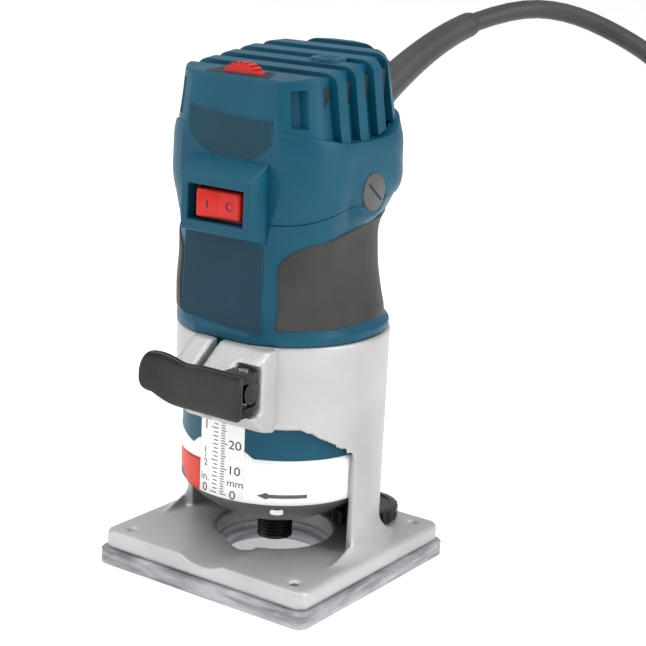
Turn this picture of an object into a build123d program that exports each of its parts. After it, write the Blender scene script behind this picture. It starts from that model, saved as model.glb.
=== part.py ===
"""Trim router: a motor held in a fixed base by a cam lever, with a fine depth adjuster.

Millimetres, +Z up, the scale and switch on the -Y side. The origin is on the spindle's
axis, in the flat underside of the clear sub-base.
"""
from build123d import *
from math import atan2, cos, degrees, hypot, pi, radians, sin, sqrt, tan
import os

os.makedirs("parts", exist_ok=True)

# ---------------------------------------------------------------- driving dimensions
SUB_BASE_SIDE = 99.0
SUB_BASE_THICK = 6.5
SUB_BASE_OPENING_R = 20.0
PLATE_SIDE = 96.0
PLATE_THICK = 7.2
PLATE_OPENING_R = 23.0
BASE_SCREW_X = 39.0
BASE_SCREW_Y = 40.5
BASE_SCREW_R = 2.0

MOTOR_R = 37.9            # outside of the motor's lower sleeve, label included
LABEL_THICK = 0.15
SLIDE_GAP = 0.1           # radial running clearance of the motor in the base
SLEEVE_WALL = 3.0
RIM_Z = 98.6              # top of the base's sleeve
WINDOW_TOP_Z = 66.5
LEG_HALF_ANGLE = 9.0      # front edge of each leg, below the X axis
MOTOR_BOTTOM_Z = 36.5
PARTING_Z = 147.0         # joint between motor housing and top cover
TOP_Z = 203.5
WALL = 2.5                # plastic wall
FIT = 0.05                # radial running clearance of shafts and pins
GAP = 0.3                 # clearance between pieces that move past each other

CLAMP_BOLT_R = 2.5
CLAMP_Y = -50.3
CLAMP_Z = 85.0
LEVER_PIN_X = 19.5
LEVER_PIN_R = 2.0
LEVER_TIP_X = -18.5
LEVER_WALL = 3.2

WHEEL_X = 19.7            # axis of the fine adjuster
WHEEL_Y = 31.6
WHEEL_R = 15.0
WHEEL_THICK = 5.8
ADJUSTER_SCREW_R = 2.5
DEPTH_TRAVEL = 25.4

SPINDLE_NOSE_R = 7.0
SPINDLE_NOSE_Z = 10.5
SHAFT_R = 5.0
COLLET_BORE_R = 4.0
COLLET_BORE_DEPTH = 16.0
THREAD_PITCH = 1.25
BEARING_R = 13.0
STATOR_R = 29.5
STATOR_Z = 84.0
STACK = 42.0
ARMATURE_R = 17.0
AIR_GAP = 0.6
COMMUTATOR_R = 11.0
BRUSH_Z = 153.7
BRUSH_CAP_R = 7.2

ROCKER_WIDTH = 19.0
ROCKER_HEIGHT = 10.4
ROCKER_TILT = 6.0
SWITCH_Z = 148.8
DIAL_R = 11.0
DIAL_THICK = 4.0
DIAL_Y = -31.0
DIAL_Z = 188.0

CORD_D = 7.8
COIL_D = 60.0             # across the coil, at the middle of the turns

# ---------------------------------------------------------------- sizes that follow
plate_top = SUB_BASE_THICK + PLATE_THICK
bore_r = MOTOR_R + SLIDE_GAP
sleeve_r = bore_r + SLEEVE_WALL
housing_r = MOTOR_R - LABEL_THICK
housing_inner_r = housing_r - WALL
lip_z = RIM_Z + 0.4
stack_top = STATOR_Z + STACK
wheel_z = plate_top + 0.7
wheel_angle = degrees(atan2(WHEEL_Y, WHEEL_X))
wheel_radius_from_axis = hypot(WHEEL_X, WHEEL_Y)


def outline(z, half_width, front, rear, front_radius, rear_radius, inset=0.0):
    """One level section of the casing: a rectangle with large round corners."""
    with BuildSketch(Plane.XY.offset(z)) as section:
        with Locations((0, (rear - front) / 2)):
            Rectangle(2 * (half_width - inset), rear + front - 2 * inset)
        fillet(section.vertices().group_by(Axis.Y)[-1], min(rear_radius, half_width - 1) - inset)
        fillet(section.vertices().group_by(Axis.Y)[0], min(front_radius, half_width - 1) - inset)
    return section.sketch


def casing(rows, inset=0.0):
    """Solid through a list of level sections."""
    with BuildPart() as body:
        loft([outline(*row, inset) for row in rows], ruled=True)
    return body.part


def finish(part, name):
    part.label = name
    export_step(part, f"parts/{name}.step")


# Level sections: height, half width, front, rear, front corner radius, rear corner radius
housing_rows = [
    (lip_z, housing_r + 1.7, housing_r + 1.8, housing_r + 1.7, 36.0, 38.0),
    (lip_z + 3.2, housing_r + 1.7, housing_r + 1.8, housing_r + 1.7, 36.0, 38.0),
    (lip_z + 4.2, 38.0, 38.6, 38.0, 33.0, 36.5),
    (114.0, 35.3, 37.7, 35.5, 27.0, 34.0),
    (128.0, 33.2, 37.3, 33.2, 24.0, 31.0),
    (140.0, 33.4, 37.3, 33.0, 23.0, 30.0),
    (PARTING_Z, 35.2, 37.3, 33.6, 23.0, 26.0),
]
band_rows = [
    (PARTING_Z, 35.2, 37.3, 33.6, 23.0, 26.0),
    (153.0, 37.0, 37.3, 34.5, 23.0, 22.0),
    (172.0, 37.0, 37.3, 34.5, 23.0, 22.0),
    (175.0, 35.0, 37.2, 33.5, 22.0, 21.0),
]
fin_rows = [
    (175.0, 35.0, 37.2, 33.5, 22.0, 21.0),
    (195.0, 33.0, 36.6, 32.0, 20.5, 20.0),
    (TOP_Z, 31.6, 36.0, 30.8, 20.0, 19.5),
]
FIN_DEPTH = 3.6
core_rows = [
    (175.0, 35.0 - FIN_DEPTH, 37.2 - FIN_DEPTH, 33.5 - FIN_DEPTH, 18.4, 17.4),
    (TOP_Z, 32.0 - FIN_DEPTH, 36.2 - FIN_DEPTH, 31.0 - FIN_DEPTH, 16.4, 16.0),
]

# ---------------------------------------------------------------- clear sub-base
with BuildPart() as sub_base:
    with BuildSketch():
        RectangleRounded(SUB_BASE_SIDE, SUB_BASE_SIDE, 4.0)
    extrude(amount=SUB_BASE_THICK)
    with Locations((0, 0, SUB_BASE_THICK)):
        Hole(SUB_BASE_OPENING_R, SUB_BASE_THICK)
    with BuildSketch(Plane.XY.offset(SUB_BASE_THICK)):
        Circle(PLATE_OPENING_R)
    extrude(amount=-2.0, mode=Mode.SUBTRACT)
    with GridLocations(2 * BASE_SCREW_X, 2 * BASE_SCREW_Y, 2, 2):
        CounterSinkHole(BASE_SCREW_R + 0.2, 4.2, SUB_BASE_THICK + 1)
finish(sub_base.part, "sub_base")

# ---------------------------------------------------------------- screws of the sub-base
SCREW_HEAD_R = 3.9
with BuildPart() as sub_base_screws:
    with BuildSketch(Plane.XZ):
        with BuildLine():
            Polyline((0, 0.8), (SCREW_HEAD_R, 0.8), (SCREW_HEAD_R, 1.2),
                     (BASE_SCREW_R - 0.1, 3.4), (BASE_SCREW_R - 0.1, plate_top - 1.0),
                     (0, plate_top - 1.0), close=True)
        make_face()
    revolve(axis=Axis.Z)
sub_base_screws = [
    Location((x, y, 0)) * sub_base_screws.part
    for x in (-BASE_SCREW_X, BASE_SCREW_X)
    for y in (-BASE_SCREW_Y, BASE_SCREW_Y)
]
finish(Compound(sub_base_screws), "sub_base_screws")

# ---------------------------------------------------------------- cast base
FOOT = 6.0                # flare of the legs into the plate
ARCH_START_Z = 45.0
SLOT_WIDTH = 3.2
EAR_LEFT_X = -11.0
EAR_RIGHT_X = 24.3
EAR_FRONT_Y = -54.5
CAM_R = 4.7
COLUMN_R = 7.5
COLUMN_TOP_Z = 88.0
CARRIAGE_HALF = 5.0
CARRIAGE_INNER_R = 33.4
CARRIAGE_OUTER_R = 41.0
CARRIAGE_Z = 44.0
CARRIAGE_HEIGHT = 14.0
notch_left_x = LEVER_PIN_X - CAM_R - GAP
notch_back_y = CLAMP_Y + CAM_R + GAP
wheel_top = wheel_z + WHEEL_THICK
column_z = wheel_top + 0.8
screw_top_z = CARRIAGE_Z + CARRIAGE_HEIGHT + DEPTH_TRAVEL + 1.0
slot_top_z = CARRIAGE_Z + CARRIAGE_HEIGHT + DEPTH_TRAVEL + 2.0

with BuildPart() as base_casting:
    with BuildSketch(Plane.XY.offset(SUB_BASE_THICK)):
        RectangleRounded(PLATE_SIDE, PLATE_SIDE, 4.5)
    extrude(amount=PLATE_THICK)
    fillet(edges().group_by(Axis.Z)[-1], 1.2)
    with BuildSketch(Plane.XZ):
        with BuildLine():
            Line((sleeve_r, RIM_Z), (0, RIM_Z))
            Line((0, RIM_Z), (0, plate_top - 1))
            Line((0, plate_top - 1), (sleeve_r + FOOT, plate_top - 1))
            Line((sleeve_r + FOOT, plate_top - 1), (sleeve_r + FOOT, plate_top))
            RadiusArc((sleeve_r + FOOT, plate_top), (sleeve_r, plate_top + FOOT + 3), 9.0)
            Line((sleeve_r, plate_top + FOOT + 3), (sleeve_r, RIM_Z))
        make_face()
    revolve(axis=Axis.Z)
    # column of the fine adjuster, tapering into the sleeve at its top
    with Locations((WHEEL_X, WHEEL_Y, column_z)):
        Cylinder(COLUMN_R, COLUMN_TOP_Z - 12 - column_z, align=(Align.CENTER, Align.CENTER, Align.MIN))
    with Locations((WHEEL_X, WHEEL_Y, COLUMN_TOP_Z - 12)):
        Cone(COLUMN_R, 3.0, 12, align=(Align.CENTER, Align.CENTER, Align.MIN))
    # clamp ears across the front
    with BuildSketch(Plane.YZ.offset(EAR_LEFT_X)):
        with BuildLine():
            Polyline((-36, RIM_Z), (-42, RIM_Z), (-52, CLAMP_Z + 6), (EAR_FRONT_Y, CLAMP_Z + 3),
                     (EAR_FRONT_Y, CLAMP_Z - 5), (-51, CLAMP_Z - 10), (-44, WINDOW_TOP_Z + 2),
                     (-36, WINDOW_TOP_Z), close=True)
        make_face()
    extrude(amount=EAR_RIGHT_X - EAR_LEFT_X)
    # bore for the motor, and the opening in the plate
    with Locations((0, 0, plate_top)):
        Cylinder(bore_r, RIM_Z, align=(Align.CENTER, Align.CENTER, Align.MIN), mode=Mode.SUBTRACT)
    with Locations((0, 0, SUB_BASE_THICK)):
        Cylinder(PLATE_OPENING_R, PLATE_THICK * 3, mode=Mode.SUBTRACT)
    # front window between the legs, with arched top corners
    leg = radians(LEG_HALF_ANGLE)
    arch_x = sleeve_r * cos(leg) + 0.1
    with BuildPart(mode=Mode.PRIVATE) as window:
        with BuildSketch(Plane.XZ):
            with BuildLine():
                Line((-arch_x, plate_top), (arch_x, plate_top))
                Line((arch_x, plate_top), (arch_x, ARCH_START_Z))
                ThreePointArc((arch_x, ARCH_START_Z), (arch_x - 2.6, WINDOW_TOP_Z - 8),
                              (arch_x - 11, WINDOW_TOP_Z))
                Line((arch_x - 11, WINDOW_TOP_Z), (11 - arch_x, WINDOW_TOP_Z))
                ThreePointArc((11 - arch_x, WINDOW_TOP_Z), (2.6 - arch_x, WINDOW_TOP_Z - 8),
                              (-arch_x, ARCH_START_Z))
                Line((-arch_x, ARCH_START_Z), (-arch_x, plate_top))
            make_face()
        extrude(amount=80)
        with BuildSketch(Plane.XY.offset(plate_top)):
            with BuildLine():
                Polyline((0, 0), (70 * cos(leg), -70 * sin(leg)), (70, -90), (-70, -90),
                         (-70 * cos(leg), -70 * sin(leg)), close=True)
            make_face()
        extrude(amount=RIM_Z, mode=Mode.INTERSECT)
    add(window.part, mode=Mode.SUBTRACT)
    # room for the thumbwheel, then the ring that carries the adjuster screw
    with Locations((WHEEL_X, WHEEL_Y, plate_top)):
        Cylinder(WHEEL_R + 0.8, column_z - plate_top, mode=Mode.SUBTRACT,
                 align=(Align.CENTER, Align.CENTER, Align.MIN))
    with Locations((WHEEL_X, WHEEL_Y, column_z)):
        Cylinder(COLUMN_R, 2.4, align=(Align.CENTER, Align.CENTER, Align.MIN))
        Cylinder(ADJUSTER_SCREW_R + FIT, 60, mode=Mode.SUBTRACT)
    # slot for the adjuster carriage
    with PolarLocations((CARRIAGE_INNER_R + CARRIAGE_OUTER_R + GAP) / 2, 1, start_angle=wheel_angle):
        with Locations((0, 0, CARRIAGE_Z - 2)):
            Box(CARRIAGE_OUTER_R + GAP - CARRIAGE_INNER_R, 2 * (CARRIAGE_HALF + GAP),
                slot_top_z - CARRIAGE_Z + 2, mode=Mode.SUBTRACT,
                align=(Align.CENTER, Align.CENTER, Align.MIN))
    with Locations((WHEEL_X, WHEEL_Y, column_z)):
        Cylinder(ADJUSTER_SCREW_R + GAP, screw_top_z + GAP - column_z, mode=Mode.SUBTRACT,
                 align=(Align.CENTER, Align.CENTER, Align.MIN))
    # clamp: slot, notch for the cam, hole for the bolt
    with Locations((0, -45, (WINDOW_TOP_Z + RIM_Z) / 2)):
        Box(SLOT_WIDTH, 40, RIM_Z - WINDOW_TOP_Z + 6, mode=Mode.SUBTRACT)
    with Locations((notch_left_x, notch_back_y, CLAMP_Z)):
        Box(30, 30, 18.6, mode=Mode.SUBTRACT, align=(Align.MIN, Align.MAX, Align.CENTER))
    with Locations(Location((0, CLAMP_Y, CLAMP_Z), (0, 90, 0))):
        Cylinder(CLAMP_BOLT_R + FIT, 80, mode=Mode.SUBTRACT)
    # trough at the front edge, and the holes of the sub-base screws
    with Locations(Location((0, -36, plate_top + 17.5), (90, 0, 0))):
        Cylinder(20, 28, mode=Mode.SUBTRACT)
    with Locations((0, 0, plate_top)):
        with GridLocations(2 * BASE_SCREW_X, 2 * BASE_SCREW_Y, 2, 2):
            Hole(BASE_SCREW_R, PLATE_THICK + 2)
finish(base_casting.part, "base_casting")

# ---------------------------------------------------------------- clamp bolt, nut, pin, lever
EYE_R = 4.2
EYE_HALF = 4.0
NUT_LENGTH = 5.0
CHEEK_BOTTOM_Z = CLAMP_Z - 8.2
CHEEK_TOP_Z = CLAMP_Z + 7.8
CHEEK_THICK = 3.4
LEVER_BOTTOM_Z = CLAMP_Z - 9.2
LEVER_TOP_Z = CLAMP_Z + 8.4
lever_inner_y = CLAMP_Y - hypot(EYE_R, EYE_HALF) - 0.2
lever_outer_y = lever_inner_y - LEVER_WALL

with BuildPart() as clamp_bolt:
    with BuildSketch(Plane.YZ.offset(EAR_LEFT_X - NUT_LENGTH)):
        with Locations((CLAMP_Y, CLAMP_Z)):
            Circle(CLAMP_BOLT_R)
    extrude(amount=LEVER_PIN_X - EYE_HALF - EAR_LEFT_X + NUT_LENGTH)
    with BuildSketch(Plane.YZ.offset(LEVER_PIN_X - EYE_HALF)):
        with Locations((CLAMP_Y, CLAMP_Z)):
            Circle(EYE_R)
    extrude(amount=2 * EYE_HALF)
    with Locations((LEVER_PIN_X, CLAMP_Y, CLAMP_Z)):
        Cylinder(LEVER_PIN_R, 20, mode=Mode.SUBTRACT)
finish(clamp_bolt.part, "clamp_bolt")

with BuildPart() as clamp_nut:
    with BuildSketch(Plane.YZ.offset(EAR_LEFT_X - NUT_LENGTH)):
        with Locations((CLAMP_Y, CLAMP_Z)):
            RegularPolygon(5.0, 6)
            Circle(CLAMP_BOLT_R, mode=Mode.SUBTRACT)
    extrude(amount=NUT_LENGTH)
finish(clamp_nut.part, "clamp_nut")

with BuildPart() as lever_pin:
    with Locations((LEVER_PIN_X, CLAMP_Y, CHEEK_BOTTOM_Z - 0.4)):
        Cylinder(LEVER_PIN_R, CHEEK_TOP_Z - CHEEK_BOTTOM_Z + 0.8,
                 align=(Align.CENTER, Align.CENTER, Align.MIN))
finish(lever_pin.part, "lever_pin")

with BuildPart() as clamp_lever:
    # front wall: seen from above a gentle hook, seen from the front a rounded tab
    with BuildSketch(Plane.XY.offset(LEVER_BOTTOM_Z)):
        with BuildLine():
            Line((EAR_RIGHT_X, lever_inner_y), (EAR_RIGHT_X, lever_outer_y))
            Line((EAR_RIGHT_X, lever_outer_y), (-2, lever_outer_y))
            RadiusArc((-2, lever_outer_y), (LEVER_TIP_X, lever_outer_y - 4.5), 40)
            Line((LEVER_TIP_X, lever_outer_y - 4.5), (LEVER_TIP_X + 0.8, lever_inner_y - 4.2))
            RadiusArc((LEVER_TIP_X + 0.8, lever_inner_y - 4.2), (-2, lever_inner_y), -37)
            Line((-2, lever_inner_y), (EAR_RIGHT_X, lever_inner_y))
        make_face()
    extrude(amount=LEVER_TOP_Z - LEVER_BOTTOM_Z + 3)
    with BuildSketch(Plane.XZ.offset(40)):
        with BuildLine():
            Line((EAR_RIGHT_X, LEVER_BOTTOM_Z), (EAR_RIGHT_X, LEVER_TOP_Z))
            Line((EAR_RIGHT_X, LEVER_TOP_Z), (-1, LEVER_TOP_Z - 1))
            ThreePointArc((-1, LEVER_TOP_Z - 1), (-8, LEVER_TOP_Z + 1.2), (LEVER_TIP_X + 5, LEVER_TOP_Z + 2))
            ThreePointArc((LEVER_TIP_X + 5, LEVER_TOP_Z + 2), (LEVER_TIP_X, CLAMP_Z + 2),
                          (LEVER_TIP_X + 7, LEVER_BOTTOM_Z + 1))
            Line((LEVER_TIP_X + 7, LEVER_BOTTOM_Z + 1), (2, LEVER_BOTTOM_Z))
            Line((2, LEVER_BOTTOM_Z), (EAR_RIGHT_X, LEVER_BOTTOM_Z))
        make_face()
    extrude(amount=40, mode=Mode.INTERSECT)
    # two cheeks that carry the pin, above and below the bolt's eye
    for cheek_z in (CHEEK_BOTTOM_Z, CHEEK_TOP_Z - CHEEK_THICK):
        with BuildSketch(Plane.XY.offset(cheek_z)):
            with Locations((LEVER_PIN_X, CLAMP_Y)):
                Circle(CAM_R)
            with Locations((LEVER_PIN_X, CLAMP_Y)):
                Rectangle(2 * CAM_R, CLAMP_Y - lever_inner_y + 0.5, align=(Align.CENTER, Align.MAX))
        extrude(amount=CHEEK_THICK)
    with Locations((LEVER_PIN_X, CLAMP_Y, CLAMP_Z)):
        Cylinder(LEVER_PIN_R + FIT, 30, mode=Mode.SUBTRACT)
finish(clamp_lever.part, "clamp_lever")

# ---------------------------------------------------------------- fine adjuster
KNURLS = 24
with BuildPart() as thumbwheel:
    with BuildSketch(Plane.XY.offset(wheel_z)):
        with Locations((WHEEL_X, WHEEL_Y)):
            Circle(WHEEL_R)
        with Locations((WHEEL_X, WHEEL_Y)):
            with PolarLocations(WHEEL_R + 0.6, KNURLS):
                Circle(1.3, mode=Mode.SUBTRACT)
        with Locations((WHEEL_X, WHEEL_Y)):
            Circle(ADJUSTER_SCREW_R, mode=Mode.SUBTRACT)
    extrude(amount=WHEEL_THICK)
finish(thumbwheel.part, "thumbwheel")

with BuildPart() as adjuster_screw:
    with Locations((WHEEL_X, WHEEL_Y, wheel_z)):
        Cylinder(ADJUSTER_SCREW_R, screw_top_z - wheel_z, align=(Align.CENTER, Align.CENTER, Align.MIN))
finish(adjuster_screw.part, "adjuster_screw")

with BuildPart() as adjuster_carriage:
    with PolarLocations((CARRIAGE_INNER_R + CARRIAGE_OUTER_R) / 2, 1, start_angle=wheel_angle):
        with Locations((0, 0, CARRIAGE_Z)):
            Box(CARRIAGE_OUTER_R - CARRIAGE_INNER_R, 2 * CARRIAGE_HALF, CARRIAGE_HEIGHT,
                align=(Align.CENTER, Align.CENTER, Align.MIN))
    with Locations((WHEEL_X, WHEEL_Y, CARRIAGE_Z)):
        Cylinder(ADJUSTER_SCREW_R + FIT, 60, mode=Mode.SUBTRACT)
finish(adjuster_carriage.part, "adjuster_carriage")

# ---------------------------------------------------------------- motor housing
CHANNEL_WALL = 2.2
COVER_SCREW_RADIUS = 32.2
COVER_SCREW_ANGLE = -53.5
COVER_BOSS_R = 3.4
COVER_BOSS_Z = 44.0
PILOT_R = 1.4
GRIP_THICK = 1.5
SURROUND_FRONT_Y = -45.5
POCKET_HALF = 12.6
POCKET_HEIGHT = 13.2
BULGE_R = 10.5
BULGE_X = 37.6
channel_half = CARRIAGE_HALF + GAP
channel_r = CARRIAGE_INNER_R - GAP


def switch_surround(keep):
    """The block around the rocker switch, above or below the parting plane."""
    with BuildPart() as block:
        with BuildSketch(Plane.XZ.offset(35.3)) as back:
            with Locations((0, SWITCH_Z + 1.2)):
                Rectangle(37, 29)
        with BuildSketch(Plane.XZ.offset(-SURROUND_FRONT_Y)) as front:
            with Locations((0, SWITCH_Z - 0.2)):
                Rectangle(31, 20.4)
        loft([back.sketch, front.sketch])
        split(bisect_by=Plane.XY.offset(PARTING_Z), keep=keep)
    return block.part


def switch_pocket():
    with BuildPart() as pocket:
        with Locations((0, SURROUND_FRONT_Y - 1, SWITCH_Z)):
            Box(2 * POCKET_HALF, 18, POCKET_HEIGHT, align=(Align.CENTER, Align.MIN, Align.CENTER))
    return pocket.part


def brush_bulges(keep):
    """Round bosses around the two brush caps, above or below the parting plane."""
    with BuildPart() as bulges:
        for side in (1, -1):
            with BuildSketch(Plane.YZ.offset(30 * side)):
                with Locations((0, BRUSH_Z)):
                    Circle(BULGE_R)
            extrude(amount=(BULGE_X - 30) * side)
        split(bisect_by=Plane.XY.offset(PARTING_Z), keep=keep)
    return bulges.part


def grip_region(side):
    """Skin of the housing where a rubber grip lies; side is +1 or -1."""
    with BuildPart() as region:
        with BuildSketch(Plane.YZ.offset(10 * side)):
            with BuildLine():
                Line((-29, 104.5), (-29, 123))
                RadiusArc((-29, 123), (-18, 137.5), 14)
                Line((-18, 137.5), (6, 142.5))
                Line((6, 142.5), (21, 144.5))
                Line((21, 144.5), (21, 104.5))
                Line((21, 104.5), (-29, 104.5))
            make_face()
        extrude(amount=40 * side)
        add(casing(housing_rows[2:]), mode=Mode.INTERSECT)
        add(casing(housing_rows[2:], GRIP_THICK), mode=Mode.SUBTRACT)
    return region.part


with BuildPart() as motor_housing:
    with Locations((0, 0, MOTOR_BOTTOM_Z)):
        Cylinder(housing_r, lip_z - MOTOR_BOTTOM_Z + 1, align=(Align.CENTER, Align.CENTER, Align.MIN))
    add(casing(housing_rows))
    add(switch_surround(Keep.BOTTOM))
    add(brush_bulges(Keep.BOTTOM))
    with Locations((0, 0, MOTOR_BOTTOM_Z)):
        Cylinder(housing_inner_r, lip_z + 3.6 - MOTOR_BOTTOM_Z, mode=Mode.SUBTRACT,
                 align=(Align.CENTER, Align.CENTER, Align.MIN))
    add(casing(housing_rows[1:], WALL), mode=Mode.SUBTRACT)
    # two rings that hold the stator
    for ring_z in (STATOR_Z, stack_top - 4):
        with BuildSketch(Plane.XY.offset(ring_z)):
            Circle(STATOR_R + 2.5 if ring_z > lip_z else housing_inner_r + 0.5)
            Circle(STATOR_R, mode=Mode.SUBTRACT)
        extrude(amount=4)
    # channel for the adjuster carriage
    with PolarLocations((channel_r - CHANNEL_WALL + housing_inner_r + 1) / 2, 1, start_angle=wheel_angle):
        with Locations((0, 0, MOTOR_BOTTOM_Z)):
            Box(housing_inner_r + 1 - channel_r + CHANNEL_WALL, 2 * (channel_half + CHANNEL_WALL),
                slot_top_z + 6 - MOTOR_BOTTOM_Z, align=(Align.CENTER, Align.CENTER, Align.MIN))
    with PolarLocations((channel_r + MOTOR_R + 2) / 2, 1, start_angle=wheel_angle):
        with Locations((0, 0, MOTOR_BOTTOM_Z - 1)):
            Box(MOTOR_R + 2 - channel_r, 2 * channel_half, slot_top_z + 3 - MOTOR_BOTTOM_Z,
                mode=Mode.SUBTRACT, align=(Align.CENTER, Align.CENTER, Align.MIN))
    # bosses for the bottom cover's screws
    with PolarLocations(COVER_SCREW_RADIUS, 4, start_angle=COVER_SCREW_ANGLE):
        with Locations((0, 0, COVER_BOSS_Z)):
            Cylinder(COVER_BOSS_R, 9, align=(Align.CENTER, Align.CENTER, Align.MIN))
            Cylinder(PILOT_R, 16, mode=Mode.SUBTRACT)
    add(switch_pocket(), mode=Mode.SUBTRACT)
    with Locations(Location((0, 0, BRUSH_Z), (0, 90, 0))):
        Cylinder(BRUSH_CAP_R + FIT, 120, mode=Mode.SUBTRACT)
    for side in (1, -1):
        add(grip_region(side), mode=Mode.SUBTRACT)
finish(motor_housing.part, "motor_housing")
finish(grip_region(1), "right_grip")
finish(grip_region(-1), "left_grip")

# ---------------------------------------------------------------- depth scale label
LABEL_LEFT_X = -9.5
LABEL_RIGHT_X = 11.5
LABEL_BAND_TOP_Z = 54.2
LABEL_TOP_Z = 92.0
with BuildPart() as scale_label:
    with BuildSketch(Plane.XY.offset(MOTOR_BOTTOM_Z)):
        Circle(MOTOR_R)
        Circle(housing_r, mode=Mode.SUBTRACT)
    extrude(amount=LABEL_TOP_Z - MOTOR_BOTTOM_Z)
    with BuildPart(mode=Mode.PRIVATE) as kept:
        with Locations((0, 0, MOTOR_BOTTOM_Z)):
            Box(100, 60, LABEL_BAND_TOP_Z - MOTOR_BOTTOM_Z, align=(Align.CENTER, Align.MAX, Align.MIN))
        with Locations((LABEL_LEFT_X, 0, MOTOR_BOTTOM_Z)):
            Box(LABEL_RIGHT_X - LABEL_LEFT_X, 60, LABEL_TOP_Z - MOTOR_BOTTOM_Z,
                align=(Align.MIN, Align.MAX, Align.MIN))
    add(kept.part, mode=Mode.INTERSECT)
finish(scale_label.part, "scale_label")

# ---------------------------------------------------------------- bottom cover and its screws
COVER_BOTTOM_Z = 24.0
LOWER_BEARING_Z = 28.0
LOWER_BEARING_HEIGHT = 9.0
COVER_SCREW_HEAD_Z = 33.6
BUSH_R = 6.0              # spindle inside the lower bearing
with BuildPart() as bottom_cover:
    with BuildSketch(Plane.XZ):
        with BuildLine():
            Polyline((9, COVER_BOTTOM_Z), (21, COVER_BOTTOM_Z), (36.6, MOTOR_BOTTOM_Z - 0.8),
                     (36.6, MOTOR_BOTTOM_Z), (housing_inner_r, MOTOR_BOTTOM_Z),
                     (housing_inner_r, COVER_BOSS_Z), (30, COVER_BOSS_Z), (28.6, MOTOR_BOTTOM_Z + 1),
                     (16, MOTOR_BOTTOM_Z + 1), (16, MOTOR_BOTTOM_Z + 3), (BEARING_R, MOTOR_BOTTOM_Z + 3),
                     (BEARING_R, LOWER_BEARING_Z), (9, LOWER_BEARING_Z), close=True)
        make_face()
    revolve(axis=Axis.Z)
    with PolarLocations(COVER_SCREW_RADIUS, 4, start_angle=COVER_SCREW_ANGLE):
        with Locations((0, 0, COVER_SCREW_HEAD_Z)):
            Cylinder(3.3, 20, mode=Mode.SUBTRACT, align=(Align.CENTER, Align.CENTER, Align.MAX))
        with Locations((0, 0, MOTOR_BOTTOM_Z)):
            Cylinder(PILOT_R + 0.1, 20, mode=Mode.SUBTRACT)
    with PolarLocations(channel_r + 2, 1, start_angle=wheel_angle):
        with Locations((0, 0, MOTOR_BOTTOM_Z)):
            Box(4 + 2 * CHANNEL_WALL, 2 * (channel_half + CHANNEL_WALL), 20, mode=Mode.SUBTRACT)
finish(bottom_cover.part, "bottom_cover")

with BuildPart() as cover_screw:
    with BuildSketch(Plane.XZ):
        with BuildLine():
            Polyline((0, COVER_SCREW_HEAD_Z - 1.4), (1.2, COVER_SCREW_HEAD_Z - 1.4),
                     (1.2, COVER_SCREW_HEAD_Z - 2.4), (3.1, COVER_SCREW_HEAD_Z - 2.0),
                     (3.1, COVER_SCREW_HEAD_Z), (PILOT_R, COVER_SCREW_HEAD_Z),
                     (PILOT_R, COVER_BOSS_Z + 7), (0, COVER_BOSS_Z + 7), close=True)
        make_face()
    revolve(axis=Axis.Z)
cover_screws = [place * cover_screw.part
                for place in PolarLocations(COVER_SCREW_RADIUS, 4, start_angle=COVER_SCREW_ANGLE)]
finish(Compound(cover_screws), "bottom_cover_screws")

# ---------------------------------------------------------------- spindle and armature
UPPER_BEARING_Z = 164.5
UPPER_BEARING_HEIGHT = 6.5
UPPER_BEARING_R = 9.5
UPPER_JOURNAL_R = 3.5
THREADS = 8
with BuildPart() as spindle:
    with BuildSketch(Plane.XZ):
        with BuildLine():
            Polyline((0, SPINDLE_NOSE_Z), (SPINDLE_NOSE_R, SPINDLE_NOSE_Z), (SPINDLE_NOSE_R, 22.5),
                     (SPINDLE_NOSE_R + 1, 22.5), (SPINDLE_NOSE_R + 1, LOWER_BEARING_Z - GAP),
                     (BUSH_R, LOWER_BEARING_Z - GAP), (BUSH_R, 40), (SHAFT_R, 41), (SHAFT_R, 161.5),
                     (UPPER_JOURNAL_R, 161.5), (UPPER_JOURNAL_R, 172), (0, 172), close=True)
        make_face()
        for turn in range(THREADS):
            with Locations((SPINDLE_NOSE_R, SPINDLE_NOSE_Z + 1.2 + turn * THREAD_PITCH)):
                Rectangle(1.0, 0.6, mode=Mode.SUBTRACT)
    revolve(axis=Axis.Z)
    with Locations((0, 0, SPINDLE_NOSE_Z)):
        Cylinder(COLLET_BORE_R, 2 * COLLET_BORE_DEPTH, mode=Mode.SUBTRACT)
finish(spindle.part, "spindle")

with BuildPart() as armature_core:
    with BuildSketch(Plane.XY.offset(STATOR_Z)):
        Circle(ARMATURE_R)
        Circle(SHAFT_R, mode=Mode.SUBTRACT)
        with PolarLocations(ARMATURE_R - 1.2, 12):
            Rectangle(3.6, 1.6, mode=Mode.SUBTRACT)
    extrude(amount=STACK)
finish(armature_core.part, "armature_core")

WINDING_HEIGHT = 7.0
with BuildPart() as armature_windings:
    for end_z in (STATOR_Z - WINDING_HEIGHT, stack_top):
        with BuildSketch(Plane.XY.offset(end_z)):
            Circle(ARMATURE_R - 2.0)
            Circle(SHAFT_R, mode=Mode.SUBTRACT)
        extrude(amount=WINDING_HEIGHT)
finish(armature_windings.part, "armature_windings")

COMMUTATOR_Z = 146.0
with BuildPart() as commutator:
    with BuildSketch(Plane.XY.offset(COMMUTATOR_Z)):
        Circle(COMMUTATOR_R)
        Circle(SHAFT_R, mode=Mode.SUBTRACT)
        with PolarLocations(COMMUTATOR_R, 24):
            Rectangle(1.2, 0.6, mode=Mode.SUBTRACT)
    extrude(amount=14.5)
finish(commutator.part, "commutator")

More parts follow.
